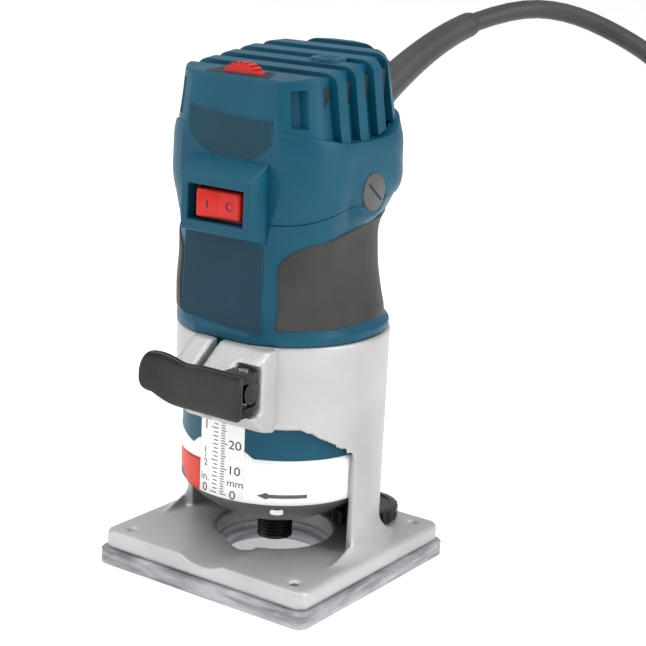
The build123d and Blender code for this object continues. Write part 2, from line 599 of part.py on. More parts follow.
FAN_R = 27.5
FAN_Z = 54.0
FAN_BLADES = 9
with BuildPart() as fan:
    with BuildSketch(Plane.XY.offset(FAN_Z)):
        Circle(FAN_R)
        Circle(SHAFT_R, mode=Mode.SUBTRACT)
    extrude(amount=1.6)
    with BuildSketch(Plane.XY.offset(FAN_Z - 8)):
        Circle(9)
        Circle(SHAFT_R, mode=Mode.SUBTRACT)
        with PolarLocations((FAN_R + 8.5) / 2, FAN_BLADES):
            Rectangle(FAN_R - 8.8, 1.4)
    extrude(amount=8)
finish(fan.part, "fan")


def bearing(outer_r, inner_r, z, height, name):
    """A sealed ball bearing drawn as one ring with its shield grooves."""
    with BuildPart() as ring:
        with BuildSketch(Plane.XY.offset(z)):
            Circle(outer_r)
            Circle(inner_r + FIT, mode=Mode.SUBTRACT)
        extrude(amount=height)
        for face_z in (z, z + height):
            with BuildSketch(Plane.XY.offset(face_z)):
                Circle(outer_r * 0.85)
                Circle(inner_r + (outer_r - inner_r) * 0.3, mode=Mode.SUBTRACT)
            extrude(amount=0.5, both=True, mode=Mode.SUBTRACT)
    finish(ring.part, name)


bearing(BEARING_R, BUSH_R, LOWER_BEARING_Z, LOWER_BEARING_HEIGHT, "lower_bearing")
bearing(UPPER_BEARING_R, UPPER_JOURNAL_R, UPPER_BEARING_Z, UPPER_BEARING_HEIGHT, "upper_bearing")

# ---------------------------------------------------------------- stator
with BuildPart() as stator_core:
    with BuildSketch(Plane.XY.offset(STATOR_Z)):
        Circle(STATOR_R)
        Circle(ARMATURE_R + AIR_GAP, mode=Mode.SUBTRACT)
    extrude(amount=STACK)
finish(stator_core.part, "stator_core")

with BuildPart() as field_windings:
    for end_z in (STATOR_Z - WINDING_HEIGHT, stack_top):
        with BuildSketch(Plane.XY.offset(end_z)):
            Circle(STATOR_R - 2.5)
            Circle(ARMATURE_R + 2, mode=Mode.SUBTRACT)
            Rectangle(2 * STATOR_R, 16, mode=Mode.SUBTRACT)
        extrude(amount=WINDING_HEIGHT)
finish(field_windings.part, "field_windings")

# ---------------------------------------------------------------- top cover
FRONT_TOP_Y = -37.0        # the ribs' tops slope up from the front edge to the rear
FRONT_TOP_Z = 194.4
TOP_SLOPE = 7.85
RIB_PITCH = 11.8
FIRST_SLOT_Y = -21.6
SLOTS = 5
SLOT = 6.4
SLOT_FLOOR_Z = 176.8
GROOVE = 1.6               # depth of the slots on the sloping top
CORNER_POCKET_Y = -32.1
CORNER_POCKET = 4.6
CORNER_POCKET_X = 24.5
CORNER_POCKET_TOP_Z = 191.5
TOP_SCREW = (14.5, 0.5)
SCREW_TOP_Z = 201.5
BRIDGE_Z = 162.5
BRIDGE_THICK = 3.0
BRIDGE_CUP = 8.0
bridge_top = BRIDGE_Z + BRIDGE_CUP
slot_ys = [FIRST_SLOT_Y + RIB_PITCH * slot for slot in range(SLOTS)]
core_inner_rows = [core_rows[0], (core_rows[1][0] - WALL, *core_rows[1][1:])]



def top_plane(drop):
    """The plane of the sloping top, lowered by a distance."""
    slope = radians(TOP_SLOPE)
    return Plane(origin=(0, FRONT_TOP_Y, FRONT_TOP_Z - drop), x_dir=(1, 0, 0), z_dir=(0, -sin(slope), cos(slope)))


with BuildPart() as top_cover:
    add(casing(band_rows))
    with BuildPart(mode=Mode.PRIVATE) as fins:
        add(casing(fin_rows))
        split(bisect_by=top_plane(0), keep=Keep.BOTTOM)
        for slot_y in slot_ys:
            with Locations((0, slot_y, SLOT_FLOOR_Z)):
                Box(90, SLOT, 60, mode=Mode.SUBTRACT, align=(Align.CENTER, Align.CENTER, Align.MIN))
        for side in (-1, 1):
            with Locations((side * (CORNER_POCKET_X + 10), CORNER_POCKET_Y, SLOT_FLOOR_Z)):
                Box(20, CORNER_POCKET, CORNER_POCKET_TOP_Z - SLOT_FLOOR_Z, mode=Mode.SUBTRACT,
                    align=(Align.CENTER, Align.CENTER, Align.MIN))
    add(fins.part)
    with BuildPart(mode=Mode.PRIVATE) as core:
        add(casing(core_rows))
        split(bisect_by=top_plane(GROOVE), keep=Keep.BOTTOM)
    add(core.part)
    add(switch_surround(Keep.TOP))
    add(brush_bulges(Keep.TOP))
    with BuildPart(mode=Mode.PRIVATE) as inside:
        add(casing(band_rows, WALL))
        add(casing(core_inner_rows, WALL))
        split(bisect_by=top_plane(GROOVE + WALL), keep=Keep.BOTTOM)
    add(inside.part, mode=Mode.SUBTRACT)
    split(bisect_by=Plane.XY.offset(PARTING_Z), keep=Keep.TOP)
    # boss and hole for the top screw
    with Locations((*TOP_SCREW, bridge_top)):
        Cylinder(4.6, SCREW_TOP_Z - 3 - bridge_top, align=(Align.CENTER, Align.CENTER, Align.MIN))
        Cylinder(PILOT_R + 0.2, 120, mode=Mode.SUBTRACT)
    with Locations((*TOP_SCREW, SCREW_TOP_Z - 5.5)):
        Cylinder(3.6, 12, mode=Mode.SUBTRACT, align=(Align.CENTER, Align.CENTER, Align.MIN))
    # holes: brush caps, switch, speed dial, side vents
    with Locations(Location((0, 0, BRUSH_Z), (0, 90, 0))):
        Cylinder(BRUSH_CAP_R + FIT, 120, mode=Mode.SUBTRACT)
    add(switch_pocket(), mode=Mode.SUBTRACT)
    with Locations((0, DIAL_Y, DIAL_Z)):
        Box(2 * DIAL_R + 1.2, DIAL_THICK + 1.2, 2 * DIAL_R + 1.2, mode=Mode.SUBTRACT)
    for slot_y in slot_ys:
        with Locations((0, slot_y, 186)):
            Box(90, 2.4, 12, mode=Mode.SUBTRACT)

# ---------------------------------------------------------------- cord boot
BOOT_START = (0.0, 32.5, 165.5)
BOOT_BEND = (2.3, 78.6, 198.6)
BOOT_END = (11.0, 109.5, 207.7)
BOOT_RADII = (7.4, 7.0, 6.5, 6.0, 5.6, 5.2, 4.9)
boot_path = Bezier(BOOT_START, BOOT_BEND, BOOT_END)


def boot_section(position, radius):
    with BuildSketch(Plane(origin=boot_path @ position, z_dir=boot_path % position)) as section:
        Circle(radius)
    return section.sketch


with BuildPart() as cord_boot:
    steps = len(BOOT_RADII) - 1
    loft([boot_section(i / steps, BOOT_RADII[i]) for i in range(steps + 1)], ruled=True)
    with BuildSketch(Plane(origin=BOOT_START, z_dir=boot_path % 0)):
        Circle(10)
    extrude(amount=-3)
with BuildPart() as boot_hole:
    with BuildSketch(Plane(origin=BOOT_START, z_dir=boot_path % 0)):
        Circle(BOOT_RADII[0] + GAP)
    extrude(amount=14)
    with BuildSketch(Plane(origin=BOOT_START, z_dir=boot_path % 0)):
        Circle(10 + GAP)
    extrude(amount=-8)
finish(cord_boot.part, "cord_boot")
with BuildPart() as top_cover_finished:
    add(top_cover.part)
    add(boot_hole.part, mode=Mode.SUBTRACT)
finish(top_cover_finished.part, "top_cover")

with BuildPart() as top_screw:
    with BuildSketch(Plane.XZ):
        with BuildLine():
            Polyline((0, SCREW_TOP_Z - 4.2), (1.4, SCREW_TOP_Z - 4.2), (1.4, SCREW_TOP_Z - 3.0),
                     (3.4, SCREW_TOP_Z - 3.4),
                     (3.4, SCREW_TOP_Z - 5.5), (PILOT_R, SCREW_TOP_Z - 5.5), (PILOT_R, 163.5), (0, 163.5), close=True)
        make_face()
    revolve(axis=Axis.Z)
finish(Location((*TOP_SCREW, 0)) * top_screw.part, "top_screw")

# ---------------------------------------------------------------- bearing bridge and brushes
bridge_half = band_rows[1][1] - WALL
with BuildPart() as bearing_bridge:
    with Locations((0, 0, BRIDGE_Z)):
        Cylinder(UPPER_BEARING_R + 2.5, BRIDGE_CUP, align=(Align.CENTER, Align.CENTER, Align.MIN))
        Box(2 * bridge_half, 14, BRIDGE_THICK, align=(Align.CENTER, Align.CENTER, Align.MIN))
    with Locations((*TOP_SCREW, BRIDGE_Z)):
        Cylinder(4.0, BRIDGE_CUP, align=(Align.CENTER, Align.CENTER, Align.MIN))
        Cylinder(PILOT_R, 40, mode=Mode.SUBTRACT)
    with Locations((0, 0, UPPER_BEARING_Z)):
        Cylinder(UPPER_BEARING_R, 20, mode=Mode.SUBTRACT, align=(Align.CENTER, Align.CENTER, Align.MIN))
    with Locations((0, 0, BRIDGE_Z)):
        Cylinder(SHAFT_R + 1, 20, mode=Mode.SUBTRACT)
finish(bearing_bridge.part, "bearing_bridge")

BRUSH_WIDTH = 6.0
BRUSH_HEIGHT = 9.0
BRUSH_LENGTH = 12.0
HOLDER_WALL = 1.2
HOLDER_START_X = 12.6
HOLDER_END_X = 31.0
brush_x = COMMUTATOR_R + GAP
holder_width = BRUSH_WIDTH + 0.2
holder_height = BRUSH_HEIGHT + 0.2


def both_sides(part):
    return Compound([part, mirror(part, about=Plane.YZ)])


with BuildPart() as brush_holder:
    with BuildSketch(Plane.YZ.offset(HOLDER_START_X)):
        with Locations((0, BRUSH_Z)):
            Rectangle(holder_width + 2 * HOLDER_WALL, holder_height + 2 * HOLDER_WALL)
            Rectangle(holder_width, holder_height, mode=Mode.SUBTRACT)
    extrude(amount=HOLDER_END_X - HOLDER_START_X)
    with Locations((24, 0, BRUSH_Z + holder_height / 2 + HOLDER_WALL)):
        Box(8, 6, BRIDGE_Z - BRUSH_Z - holder_height / 2 - HOLDER_WALL,
            align=(Align.CENTER, Align.CENTER, Align.MIN))
finish(both_sides(brush_holder.part), "brush_holders")

with BuildPart() as carbon_brush:
    with Locations((brush_x, 0, BRUSH_Z)):
        Box(BRUSH_LENGTH, BRUSH_WIDTH, BRUSH_HEIGHT, align=(Align.MIN, Align.CENTER, Align.CENTER))
finish(both_sides(carbon_brush.part), "carbon_brushes")

CAP_STEM_X = 30.5
CAP_FACE_X = 38.2
with BuildPart() as brush_spring:
    with BuildSketch(Plane.YZ.offset(brush_x + BRUSH_LENGTH)):
        with Locations((0, BRUSH_Z)):
            Circle(2.6)
            Circle(1.8, mode=Mode.SUBTRACT)
    extrude(amount=CAP_STEM_X + 0.6 - brush_x - BRUSH_LENGTH)
finish(both_sides(brush_spring.part), "brush_springs")

with BuildPart() as brush_cap:
    with BuildSketch(Plane.YZ.offset(HOLDER_END_X + 0.1)):
        with Locations((0, BRUSH_Z)):
            Circle(BRUSH_CAP_R)
    extrude(amount=CAP_FACE_X - HOLDER_END_X - 0.1)
    fillet(edges().group_by(Axis.X)[-1], 0.8)
    with Locations(Location((CAP_FACE_X, 0, BRUSH_Z), (30, 0, 0))):
        Box(2.4, 2 * BRUSH_CAP_R - 2.4, 1.4, mode=Mode.SUBTRACT)
finish(both_sides(brush_cap.part), "brush_caps")

# ---------------------------------------------------------------- rocker switch
ROCKER_Y = -38.6
ROCKER_FRONT_Y = -44.6
BEZEL_Y = -40.6
SWITCH_BACK_Y = -19.0
switch_half = POCKET_HALF - 0.2
with BuildPart() as switch_body:
    with Locations((0, BEZEL_Y, SWITCH_Z)):
        Box(2 * switch_half, SWITCH_BACK_Y - BEZEL_Y, POCKET_HEIGHT - 0.3,
            align=(Align.CENTER, Align.MIN, Align.CENTER))
    with Locations((0, BEZEL_Y, SWITCH_Z)):
        Box(ROCKER_WIDTH + 1.6, 2 * 8.0, ROCKER_HEIGHT + 0.8, mode=Mode.SUBTRACT)
finish(switch_body.part, "switch_body")

with BuildPart() as switch_rocker:
    with BuildSketch(Plane(origin=(0, ROCKER_Y, SWITCH_Z - ROCKER_HEIGHT / 2), x_dir=(1, 0, 0))):
        with BuildLine():
            half = ROCKER_WIDTH / 2
            front = ROCKER_FRONT_Y - ROCKER_Y
            Polyline((-half, 1.5), (-half, front), (0, front + 0.9), (half, front), (half, 1.5),
                     (3, 4.2), (-3, 4.2), close=True)
        make_face()
    extrude(amount=ROCKER_HEIGHT)
rocker_at_rest = switch_rocker.part.rotate(Axis((0, ROCKER_Y, 0), (0, 0, 1)), ROCKER_TILT)
finish(rocker_at_rest, "switch_rocker")

# ---------------------------------------------------------------- speed control
DIAL_TEETH = 28
DIAL_SHAFT_R = 2.0
BOARD_Y = -17.0
with BuildPart() as speed_dial:
    with BuildSketch(Plane.XZ.offset(-DIAL_Y - DIAL_THICK / 2)):
        with Locations((0, DIAL_Z)):
            Circle(DIAL_R)
            with PolarLocations(DIAL_R, DIAL_TEETH):
                Rectangle(1.2, 1.0, mode=Mode.SUBTRACT)
    extrude(amount=DIAL_THICK)
    with BuildSketch(Plane.XZ.offset(-DIAL_Y - DIAL_THICK / 2)):
        with Locations((0, DIAL_Z)):
            Circle(DIAL_SHAFT_R)
    extrude(amount=-8)
finish(speed_dial.part, "speed_dial")

with BuildPart() as speed_potentiometer:
    with Locations((0, DIAL_Y + DIAL_THICK / 2 + 1.6, DIAL_Z - 2.5)):
        Box(11, BOARD_Y - DIAL_Y - DIAL_THICK / 2 - 1.6, 11.5, align=(Align.CENTER, Align.MIN, Align.CENTER))
    with Locations(Location((0, DIAL_Y, DIAL_Z), (90, 0, 0))):
        Cylinder(DIAL_SHAFT_R + FIT, 22, mode=Mode.SUBTRACT)
finish(speed_potentiometer.part, "speed_potentiometer")

with BuildPart() as speed_control_board:
    with Locations((0, BOARD_Y, DIAL_Z - 3)):
        Box(36, 1.6, 15, align=(Align.CENTER, Align.MIN, Align.CENTER))
    for x, height in ((-12, 6), (-4, 4), (11, 8)):
        with Locations((x, BOARD_Y + 1.6, DIAL_Z - 4)):
            Box(6, height, 9, align=(Align.CENTER, Align.MIN, Align.CENTER))
finish(speed_control_board.part, "speed_control_board")

with BuildPart() as cord_clamp:
    with Locations((0, 25.0, 155.5)):
        Box(24, 5, 5)
finish(cord_clamp.part, "cord_clamp")

# ---------------------------------------------------------------- cord, coil, plug
COIL_CENTER = (159.8, 102.7)
COIL_WIDE = 2             # turns side by side
COIL_HIGH = 4             # turns on top of each other
cord_route = [
    BOOT_END,
    (18.0, 130.5, 213.8),
    (34.5, 146.8, 213.8),
    (56.5, 155.2, 205.4),
    (79.0, 157.0, 193.8),
    (95.5, 156.8, 173.5),
    (101.0, 154.8, 143.0),
    (101.6, 151.0, 107.0),
    (101.2, 145.8, 72.0),
    (102.6, 139.8, 40.4),
    (113.4, 135.0, 17.0),
    (131.8, 133.2, 4.4),
    (153.9, 136.1, 4.0),
]
tail_route = [
    (191.7, 91.1, 27.2),
    (186.9, 77.4, 24.6),
    (185.2, 63.2, 16.6),
    (185.0, 49.5, 9.4),
    (185.0, 34.0, 9.3),
]


def cord_tube(route, name):
    """A tube of straight runs and arcs, each arc as large as its two runs allow."""
    points = [Vector(*point) for point in route]
    radii = []
    for before, corner, after in zip(points, points[1:], points[2:]):
        turn = radians((corner - before).get_angle(after - corner))
        shorter = min((corner - before).length, (after - corner).length)
        radii.append(0.45 * shorter / tan(turn / 2))
    with BuildPart() as tube:
        with BuildLine() as path:
            FilletPolyline(*points, radius=radii)
        with BuildSketch(Plane(origin=points[0], z_dir=points[1] - points[0])):
            Circle(CORD_D / 2)
        sweep(path=path.wires()[0])
    length = path.wires()[0].length
    print(name, "radii", [round(radius) for radius in radii], "length", round(length),
          "volume / (section x length)", round(tube.part.volume / (pi * CORD_D ** 2 / 4 * length), 4))
    finish(tube.part, name)


cord_tube(cord_route, "cord_tube")
cord_tube(tail_route, "cord_tail")

with BuildPart() as cord_coil:
    with Locations((*COIL_CENTER, 0.05)):
        Cylinder(COIL_D / 2 + COIL_WIDE * CORD_D / 2, COIL_HIGH * CORD_D,
                 align=(Align.CENTER, Align.CENTER, Align.MIN))
        Cylinder(COIL_D / 2 - COIL_WIDE * CORD_D / 2, 3 * COIL_HIGH * CORD_D, mode=Mode.SUBTRACT)
finish(cord_coil.part, "cord_coil")

PLUG_LENGTH = 38.0
PLUG_SHOULDER = 16.0
plug_start = Vector(*tail_route[-1])


def plug_plane(distance):
    """A plane square to the plug, at a distance from where the lead goes in."""
    return Plane(origin=plug_start - Vector(0, distance, 0), x_dir=(1, 0, 0), z_dir=(0, -1, 0))


with BuildPart() as plug_body:
    with BuildSketch(plug_plane(0)):
        Circle(5.4)
    with BuildSketch(plug_plane(PLUG_SHOULDER)):
        RectangleRounded(18, 14, 5)
    with BuildSketch(plug_plane(PLUG_LENGTH)):
        RectangleRounded(25, 18, 5)
    loft(ruled=True)
finish(plug_body.part, "plug_body")

with BuildPart() as plug_blades:
    with Locations(*(plug_start + Vector(side * 6.35, -PLUG_LENGTH, 0) for side in (-1, 1))):
        Box(1.5, 17, 6.4, align=(Align.CENTER, Align.MAX, Align.CENTER))
finish(plug_blades.part, "plug_blades")
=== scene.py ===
"""Looks of the trim router: smooth casings, ribs, casting, label, lever, lead and finishes.

Shapes are worked out in millimetres in the CAD's frame and stored in metres.
"""
from math import cos, pi, radians, sin

import bpy
import numpy as np
from mathutils import Matrix, Vector


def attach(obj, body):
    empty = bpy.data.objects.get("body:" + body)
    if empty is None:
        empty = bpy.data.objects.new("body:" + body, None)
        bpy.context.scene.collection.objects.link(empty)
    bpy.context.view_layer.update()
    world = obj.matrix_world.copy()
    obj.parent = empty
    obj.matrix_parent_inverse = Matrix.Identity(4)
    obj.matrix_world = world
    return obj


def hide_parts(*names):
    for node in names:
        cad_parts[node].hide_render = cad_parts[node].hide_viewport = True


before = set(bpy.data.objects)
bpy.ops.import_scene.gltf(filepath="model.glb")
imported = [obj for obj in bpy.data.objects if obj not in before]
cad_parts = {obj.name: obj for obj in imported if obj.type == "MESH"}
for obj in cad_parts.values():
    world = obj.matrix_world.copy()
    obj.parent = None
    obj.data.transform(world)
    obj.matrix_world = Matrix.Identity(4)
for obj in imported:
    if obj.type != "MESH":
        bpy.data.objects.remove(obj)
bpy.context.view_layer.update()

MM = 0.001

# ---------------------------------------------------------------- sizes, as in the CAD
LIP_Z = 99.0
MOTOR_BOTTOM_Z = 36.5
MOTOR_R = 37.9
HOUSING_R = 37.75
CREASE = 1.45             # how far the front face cuts into the round corners
BRUSH_Z = 153.7
BRUSH_CAP_R = 7.2
BULGE_X = 37.6
SWITCH_Z = 148.8
CLAMP_Y = -50.3
WHEEL_X, WHEEL_Y = 19.7, 31.6

# heights, half width, front, rear, front corner radius, rear corner radius
HOUSING_ROWS = (
    (99.0, 39.45, 39.55, 39.45, 37.5, 38.0),
    (102.0, 39.45, 39.55, 39.45, 37.5, 38.0),
    (103.2, 38.2, 38.6, 38.2, 34.0, 36.8),
    (108.0, 36.6, 38.0, 36.8, 30.0, 35.2),
    (114.0, 35.3, 37.7, 35.5, 27.0, 34.0),
    (128.0, 33.2, 37.3, 33.2, 24.0, 31.0),
    (140.0, 33.4, 37.3, 33.0, 23.0, 30.0),
    (147.0, 35.2, 37.3, 33.6, 23.0, 26.0),
    (153.0, 36.6, 37.3, 34.4, 23.0, 22.5),
)
BAND_ROWS = (
    (140.0, 33.4, 37.3, 33.0, 23.0, 30.0),
    (147.0, 35.2, 37.3, 33.6, 23.0, 26.0),
    (153.0, 37.0, 37.3, 34.5, 23.0, 22.0),
    (164.0, 37.4, 37.3, 34.7, 23.0, 22.0),
    (172.0, 37.0, 37.3, 34.5, 23.0, 22.0),
    (177.0, 35.6, 37.2, 33.9, 22.5, 21.5),
    (184.0, 34.4, 37.0, 33.0, 22.0, 21.0),
)
FIN_ROWS = (
    (170.0, 36.0, 37.2, 33.9, 22.0, 21.0),
    (175.0, 34.9, 37.2, 33.4, 22.0, 21.5),
    (185.0, 33.2, 36.9, 32.2, 21.5, 22.0),
    (195.0, 31.7, 36.6, 31.2, 20.5, 22.0),
    (203.5, 30.3, 36.0, 30.2, 20.0, 22.0),
)


# ---------------------------------------------------------------- shapes
def quads(rows, cols, wrap):
    """Faces of a grid of points; the columns close into a ring when wrap is true."""
    index = np.arange(rows * cols).reshape(rows, cols)
    right = np.roll(index, -1, axis=1) if wrap else index[:, 1:]
    left = index if wrap else index[:, :-1]
    faces = np.stack([left[:-1], right[:-1], right[1:], left[1:]], axis=-1)
    return faces.reshape(-1, 4).tolist()


def sheet(points, wrap=False, caps=(False, False)):
    """A grid of points (rows, columns, 3) as vertices and faces; caps close its first and last ring."""
    rows, cols = points.shape[:2]
    faces = quads(rows, cols, wrap)
    if caps[0]:
        faces.append(list(range(cols))[::-1])
    if caps[1]:
        faces.append([(rows - 1) * cols + i for i in range(cols)])
    return points.reshape(-1, 3), faces


def loops(*rings):
    """A closed solid through rings of equal point counts, capped at both ends."""
    return sheet(np.array(rings, float), wrap=True, caps=(True, True))


def tube(path, radius, around=12, closed=False):
    """A round tube: at each point of the path a circle, square to the path's direction there."""
    path = np.asarray(path, float)
    if closed:
        along = np.roll(path, -1, axis=0) - np.roll(path, 1, axis=0)
    else:
        along = np.gradient(path, axis=0)
    along /= np.linalg.norm(along, axis=1, keepdims=True)
    helper = np.where(np.abs(along[:, 2:]) > 0.9, [[1.0, 0, 0]], [[0, 0, 1.0]])
    side = np.cross(helper, along)
    side /= np.linalg.norm(side, axis=1, keepdims=True)
    up = np.cross(along, side)
    turn = np.linspace(0, 2 * pi, around, endpoint=False)[None, :, None]
    radius = np.broadcast_to(np.asarray(radius, float).reshape(-1, 1, 1), (len(path), 1, 1))
    points = path[:, None] + radius * (np.cos(turn) * side[:, None] + np.sin(turn) * up[:, None])
    if closed:
        points = np.concatenate([points, points[:1]])
        return sheet(points, wrap=True)
    return sheet(points, wrap=True, caps=(True, True))


def revolved(profile, center=(0.0, 0.0), around=96, ripple=None):
    """A profile of (radius, height) turned about a vertical axis; ripple adds to the radius by angle."""
    profile = np.asarray(profile, float)
    turn = np.linspace(0, 2 * pi, around, endpoint=False)
    radius = profile[:, :1] + (ripple(turn, profile[:, 1:]) if ripple else np.zeros((1, around)))
    points = np.stack([center[0] + radius * np.cos(turn), center[1] + radius * np.sin(turn),
                       np.broadcast_to(profile[:, 1:], radius.shape)], axis=-1)
    closed_ring = np.allclose(profile[0], profile[-1])
    return sheet(points, wrap=True, caps=(not closed_ring, not closed_ring))


def prism(outline, start, end, axis):
    """A flat outline carried straight along an axis (0, 1 or 2) from start to end."""
    outline = np.asarray(outline, float)
    rings = []
    for level in (start, end):
        rings.append(np.insert(outline, axis, level, axis=1))
    return loops(*rings)


def placed(part, turn_deg=0.0, about="Z", move=(0, 0, 0)):
    """A part turned about an axis through the origin, then moved."""
    points, faces = part
    matrix = np.array(Matrix.Rotation(radians(turn_deg), 3, about))
    return points @ matrix.T + np.array(move, float), faces


def smooth_step(value, low, high):
    t = np.clip((value - low) / (high - low), 0, 1)
    return t * t * (3 - 2 * t)


def piece(name, parts, material, body, replaces=(), wall=0.0, bevel=0.0, sharp=32, segments=2,
          recalculate=False):
    """One object made of several parts. wall gives a sheet thickness inwards; bevel rounds sharp edges."""
    points, faces, first = [], [], 0
    for part_points, part_faces in parts:
        points.append(np.asarray(part_points, float))
        faces += [[first + i for i in face] for face in part_faces]
        first += len(part_points)
    mesh = bpy.data.meshes.new(name)
    mesh.from_pydata(np.concatenate(points) * MM, [], faces)
    mesh.validate()
    mesh.polygons.foreach_set("use_smooth", [True] * len(mesh.polygons))
    if recalculate:
        outward(mesh)
    mesh.set_sharp_from_angle(angle=radians(sharp))
    mesh.materials.append(material)
    made = bpy.data.objects.new(name, mesh)
    bpy.context.scene.collection.objects.link(made)
    if wall:
        thick = made.modifiers.new("wall", "SOLIDIFY")
        thick.thickness = wall * MM
        thick.offset = -1.0
    if bevel:
        soft = made.modifiers.new("edges", "BEVEL")
        soft.width = bevel * MM
        soft.segments = segments
        soft.limit_method = "ANGLE"
        soft.angle_limit = radians(38)
        soft.harden_normals = False
    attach(made, body)
    if replaces:
        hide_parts(*replaces)
    return made


def outward(mesh):
    """Turns every face of a closed mesh outwards."""
    import bmesh
    work = bmesh.new()
    work.from_mesh(mesh)
    bmesh.ops.recalc_face_normals(work, faces=work.faces)
    work.to_mesh(mesh)
    work.free()


# ---------------------------------------------------------------- casing outline
SEGMENT_STEPS = (36, 16, 16, 16, 36, 16, 24, 16)
column_segment = np.repeat(np.arange(8), SEGMENT_STEPS)
column_share = np.concatenate([np.arange(n) / n for n in SEGMENT_STEPS])


def casing_values(rows, z):
    """Cubic Hermite curves through the rows, with slopes from central differences."""
    table = np.array(rows, float)
    knots, values = table[:, 0], table[:, 1:]
    slopes = np.gradient(values, knots, axis=0)
    z = np.clip(z, knots[0], knots[-1])
    i = np.clip(np.searchsorted(knots, z, side="right") - 1, 0, len(knots) - 2)
    span = (knots[i + 1] - knots[i])[..., None]
    t = (z - knots[i])[..., None] / span
    return ((2 * t ** 3 - 3 * t ** 2 + 1) * values[i] + (t ** 3 - 2 * t ** 2 + t) * span * slopes[i]
            + (3 * t ** 2 - 2 * t ** 3) * values[i + 1] + (t ** 3 - t ** 2) * span * slopes[i + 1])


def casing(rows, z, inset=0.0):
    """Points of a casing at heights z (rows, columns).

    At each height the outline is a rectangle with large round corners: eight stretches, four
    straight and four arcs. The front face is a flat cut CREASE deep into the front arcs.
    """
    width, front, rear, front_r, rear_r = np.moveaxis(casing_values(rows, z), -1, 0)
    width, front, rear = width - inset, front - inset, rear - inset
    front_r, rear_r = front_r - inset, rear_r - inset
    full = front + CREASE
    cut = np.arccos(1 - CREASE / front_r)
    segment, share = column_segment, column_share
    low_y, high_y = front_r - full, rear - rear_r
    cut_x = width - front_r + front_r * np.sin(cut)
    angle = np.select(
        [segment == 1, segment == 3, segment == 5, segment == 7],
        [share * pi / 2, pi / 2 + share * pi / 2,
         pi + share * (pi / 2 - cut), 1.5 * pi + cut + share * (pi / 2 - cut)], 0.0)
    x = np.select(
        [segment == 0, segment == 1, segment == 2, segment == 3,
         segment == 4, segment == 5, segment == 6],
        [width, width - rear_r + rear_r * np.cos(angle), (width - rear_r) * (1 - 2 * share),
         rear_r - width + rear_r * np.cos(angle), -width,
         front_r - width + front_r * np.cos(angle), cut_x * (2 * share - 1)],
        width - front_r + front_r * np.cos(angle))
    y = np.select(
        [segment == 0, segment == 1, segment == 2, segment == 3,
         segment == 4, segment == 5, segment == 6],
        [low_y + share * (high_y - low_y), high_y + rear_r * np.sin(angle), rear,
         high_y + rear_r * np.sin(angle), high_y + share * (low_y - high_y),
         low_y + front_r * np.sin(angle), -front],
        low_y + front_r * np.sin(angle))
    return np.stack([x, y, z], axis=-1)


def side_x(rows, y, z):
    """Half width of the casing at (y, z), on its side or its round corners."""
    width, front, rear, front_r, rear_r = np.moveaxis(casing_values(rows, np.asarray(z, float)), -1, 0)
    low_y, high_y = front_r - front - CREASE, rear - rear_r
    ahead = np.clip(low_y - y, 0, front_r * 0.999)
    behind = np.clip(y - high_y, 0, rear_r * 0.999)
    return (width - front_r + np.sqrt(front_r ** 2 - ahead ** 2)
            - rear_r + np.sqrt(rear_r ** 2 - behind ** 2))


def bulged(points):
    """Swells the sides around the brush caps: inside 9 mm flat, fading out by 15 mm."""
    distance = np.hypot(points[..., 1], (points[..., 2] - BRUSH_Z) * 1.05)
    share = 1 - smooth_step(distance, 8.6, 15.0)
    side = np.sign(points[..., 0]) * BULGE_X
    on_side = np.abs(points[..., 0]) > 28
    x = np.where(on_side, points[..., 0] + (side - points[..., 0]) * share, points[..., 0])
    return np.stack([x, points[..., 1], points[..., 2]], axis=-1)


def parting_height(y):
    """The joint line: low at the front, rising around the brush caps, level behind."""
    return 143.4 + 6.6 * smooth_step(y, -38, -4) + 0.8 * smooth_step(y, -16, 2)


def ledge_height(y):
    """The line where the ribs start: lowest at mid side, rising to the rear."""
    return 172.2 + 3.4 * smooth_step(-y, 14, 36) + 8.5 * smooth_step(y, -6, 32)


def heights(rows, low, high):
    """Heights spread evenly between two boundaries that differ by column."""
    share = np.linspace(0, 1, rows)[:, None]
    return low + share * (high - low)


# ---------------------------------------------------------------- camera
AZIMUTH, ELEVATION, ROLL = radians(34.299), radians(14.819), radians(2.894)
camera_back = np.array([sin(AZIMUTH) * cos(ELEVATION), -cos(AZIMUTH) * cos(ELEVATION), sin(ELEVATION)])
camera_right = np.array([cos(AZIMUTH), sin(AZIMUTH), 0.0])
camera_up = np.cross(camera_back, camera_right)
camera_place = camera_right * 15.042 + np.array([0, 0, 97.704]) + camera_back * 650.0
camera_x = camera_right * cos(ROLL) + camera_up * sin(ROLL)
camera_y = camera_up * cos(ROLL) - camera_right * sin(ROLL)
camera_data = bpy.data.cameras.new("camera")
camera_data.lens = 94.07
camera_data.sensor_width = 36.0
camera = bpy.data.objects.new("camera", camera_data)
camera.matrix_world = Matrix([[camera_x[i], camera_y[i], camera_back[i], camera_place[i] * MM]
                              for i in range(3)] + [[0, 0, 0, 1]])
bpy.context.scene.collection.objects.link(camera)
bpy.context.scene.camera = camera


# ---------------------------------------------------------------- finishes
def node_of(tree, kind, **values):
    made = tree.nodes.new(kind)
    for key, value in values.items():
        if hasattr(made, key):
            setattr(made, key, value)
        else:
            made.inputs[key].default_value = value
    return made


